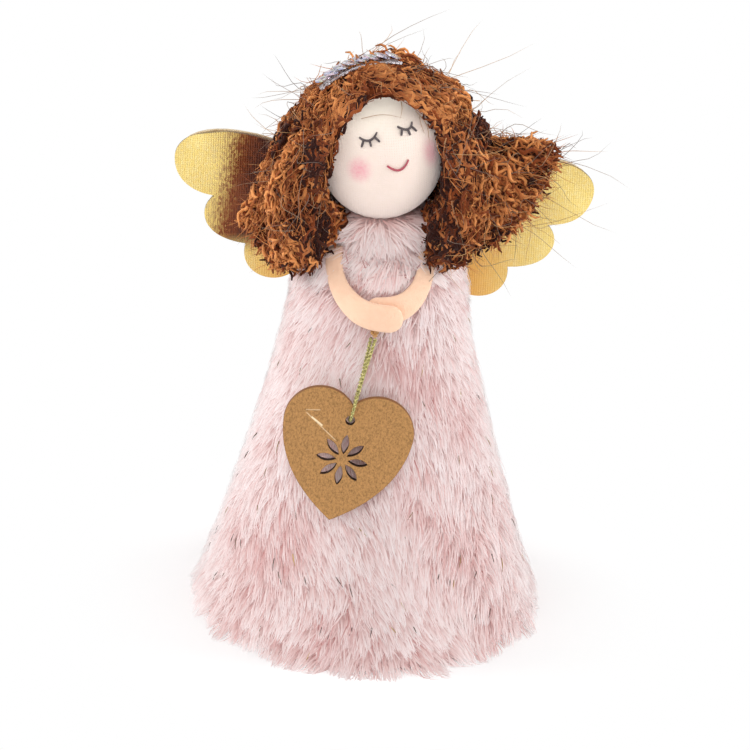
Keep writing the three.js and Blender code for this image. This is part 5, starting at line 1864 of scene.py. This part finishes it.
# One half of the wings' outline: where it starts, and each curve's two handles and its end.
WING_TOP = (0, 0.006)
WING_CURVES = (
    ((0.010, 0.0115), (0.024, 0.0188), (0.036, 0.0193)),
    ((0.043, 0.0198), (0.050, 0.0176), (0.050, 0.012)),
    ((0.050, 0.007), (0.046, 0.003), (0.0398, 0.0026)),
    ((0.044, -0.001), (0.042, -0.0085), (0.0314, -0.0096)),
    ((0.0325, -0.015), (0.0285, -0.0183), (0.0244, -0.0183)),
    ((0.0205, -0.0183), (0.018, -0.015), (0.016, -0.012)),
    ((0.012, -0.008), (0.006, -0.006), (0, -0.006)),
)
WING_STEPS = 14
# The grid that lets the cloth crumple: its pitch, and where its lines lie off the middle.
GRID_PITCH, GRID_ASIDE, GRID_UP = 0.002, 0.0004, 0.0003
# The wings' hub, how far the cloth hangs below it and how far it rolls, and the cloth's thickness.
WING_HUB, WING_HANG = 0.104, -0.012
WING_ROLL = math.radians(2.6)
WING_THICKNESS = 0.0005


class WingsOperator(bpy.types.Operator):
    """Make the gold cloth wings and dress their stiffener"""

    bl_idname = "angel.wings"
    bl_label = "Wings"

    def execute(self, context):
        settings = context.scene.angel_cloth
        self.cloth(settings)
        dress_node("wing_stiffener", card_finish("Wing card", srgb(226, 208, 176), srgb(196, 172, 136)))
        return {"FINISHED"}

    def outline(self):
        half, start = [WING_TOP], WING_TOP
        for one, two, end in WING_CURVES:
            corners = (start, one, two, end)
            for step in range(1, WING_STEPS + 1):
                s = step / WING_STEPS
                weights = ((1 - s) ** 3, 3 * s * (1 - s) ** 2, 3 * s**2 * (1 - s), s**3)
                half.append(tuple(sum(w * c[axis] for w, c in zip(weights, corners)) for axis in (0, 1)))
            start = end
        return half + [(-x, z) for x, z in half[-2:0:-1]]

    def cloth(self, settings):
        """One panel cut to the wings' outline, gridded, crumpled a little and thickened."""
        outline = self.outline()
        low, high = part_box("wing_cloth")
        mesh = bpy.data.meshes.new("wing_cloth_gold")
        mesh.from_pydata([(x, 0, z) for x, z in outline], [], [tuple(range(len(outline)))])
        piece = new_object("wing_cloth_gold", mesh)
        upright = [((step * GRID_PITCH + GRID_ASIDE, 0, 0), (1, 0, 0)) for step in range(-24, 25)]
        level = [((0, 0, step * GRID_PITCH + GRID_UP), (0, 0, 1)) for step in range(-9, 11)]
        with edited(piece):
            for place, way in (*upright, *level):
                bpy.ops.mesh.select_all(action="SELECT")
                bpy.ops.mesh.bisect(plane_co=place, plane_no=way)
        points = mesh_points(mesh)
        far = smooth(0.018, 0.045, np.abs(points[:, 0]))
        crumple = 0.0004 * ripple(points, 0.010, 81) + 0.0002 * ripple(points, 0.004, 82)
        points[:, 1] = far * crumple - 0.0012 * far
        set_mesh_points(mesh, points)
        hub = Vector((0, (low.y + high.y) / 2, WING_HUB))
        roll = Matrix.Rotation(WING_ROLL, 4, "Y")
        mesh.transform(Matrix.Translation(hub) @ roll @ Matrix.Translation((0, 0, WING_HANG)))
        thick = piece.modifiers.new("Thickness", "SOLIDIFY")
        thick.thickness = WING_THICKNESS
        thick.offset = 0
        bpy.ops.object.modifier_apply(modifier=thick.name)
        with edited(piece):
            bpy.ops.mesh.normals_make_consistent(inside=False)
        bpy.ops.object.shade_smooth_by_angle(angle=math.radians(40))
        finish_piece(piece, gold_finish(settings), "angel", "lame", "wing_cloth")


# Arms

# The felt's half thickness, the length of the rounded hand's end and how square the felt's edge is.
FELT_HALF = 0.00088
HAND_ROUND = 0.0034
FELT_EDGE = 0.75


def squarer(wave):
    """A sine or a cosine with steeper sides, which makes a section squarer."""
    return np.sign(wave) * np.abs(wave) ** FELT_EDGE


class ArmsOperator(bpy.types.Operator):
    """Make the felt arms with their rounded hands"""

    bl_idname = "angel.arms"
    bl_label = "Arms"

    def execute(self, context):
        finish = felt_finish(context.scene.angel_cloth)
        for name, (side, reach, lift) in ARMS.items():
            self.arm(name, side, reach, lift, finish)
        return {"FINISHED"}

    def arm(self, name, side, reach, lift, finish):
        """A flat strip of felt along the arm's line, rounded off at the hand."""
        steps, sides = 72, 20
        line, out = arm_line(side, reach, lift, steps)
        run = path_run(line)
        across = unit(np.cross(out, unit(np.gradient(line, axis=0))))
        left = np.maximum(run[-1] - run, 0) / HAND_ROUND
        rounded = np.sqrt(np.maximum(1 - np.maximum(1 - left, 0) ** 2, 0.004))
        half = arm_width(run / run[-1]) * rounded
        thick = FELT_HALF * rounded**0.6
        turn = np.arange(sides) * 2 * math.pi / sides
        rings = (
            line[:, None]
            + across[:, None] * (half[:, None] * squarer(np.cos(turn)))[..., None]
            + out[:, None] * (thick[:, None] * squarer(np.sin(turn)))[..., None]
        )
        points = rings.reshape(-1, 3)
        points = points + 0.00006 * ripple(points, 0.0016, 91)[:, None] * np.repeat(out, sides, 0)
        here = np.arange(sides)
        caps = np.stack([here[::-1], (steps - 1) * sides + here])
        piece = new_piece(f"{name}_felt", points, [wall_faces(steps, sides), caps])
        with edited(piece):
            bpy.ops.mesh.normals_make_consistent(inside=False)
        finish_piece(piece, finish, "angel", "felt", name)


# Inner parts


class InnerOperator(bpy.types.Operator):
    """Dress the card cone, the foam, the peg and the glue"""

    bl_idname = "angel.inner"
    bl_label = "Inner parts"

    def execute(self, context):
        dress_node("card_cone", card_finish("Cone card", srgb(204, 180, 146), srgb(168, 140, 104)))
        foam = foam_finish()
        dress_node("shoulder_plug", foam)
        dress_node("head_core", foam)
        dress_node("neck_peg", peg_finish())
        dress_node("wing_glue", glue_finish())
        return {"FINISHED"}


class AngelPanel(bpy.types.Panel):
    """The steps that dress the angel, in order"""

    bl_label = "Angel"
    bl_idname = "VIEW3D_PT_angel"
    bl_space_type = "VIEW_3D"
    bl_region_type = "UI"
    bl_category = "Angel"

    def draw(self, context):
        for operator in OPERATORS:
            self.layout.operator(operator.bl_idname)
        for key, group in SETTINGS.items():
            box = self.layout.box()
            settings = getattr(context.scene, key)
            for name in group.__annotations__:
                box.prop(settings, name)


OPERATORS = (
    StageOperator,
    PendantOperator,
    SkirtOperator,
    CollarOperator,
    HeadOperator,
    HairOperator,
    TiaraOperator,
    WingsOperator,
    ArmsOperator,
    InnerOperator,
)


def register():
    for group in (*SETTINGS.values(), *OPERATORS, AngelPanel):
        bpy.utils.register_class(group)
    for key, group in SETTINGS.items():
        setattr(bpy.types.Scene, key, PointerProperty(type=group))


def unregister():
    for key in SETTINGS:
        delattr(bpy.types.Scene, key)
    for group in reversed((*SETTINGS.values(), *OPERATORS, AngelPanel)):
        bpy.utils.unregister_class(group)


def main():
    register()
    for operator in OPERATORS:
        getattr(bpy.ops.angel, operator.bl_idname.split(".")[1])()


if __name__ == "__main__":
    main()
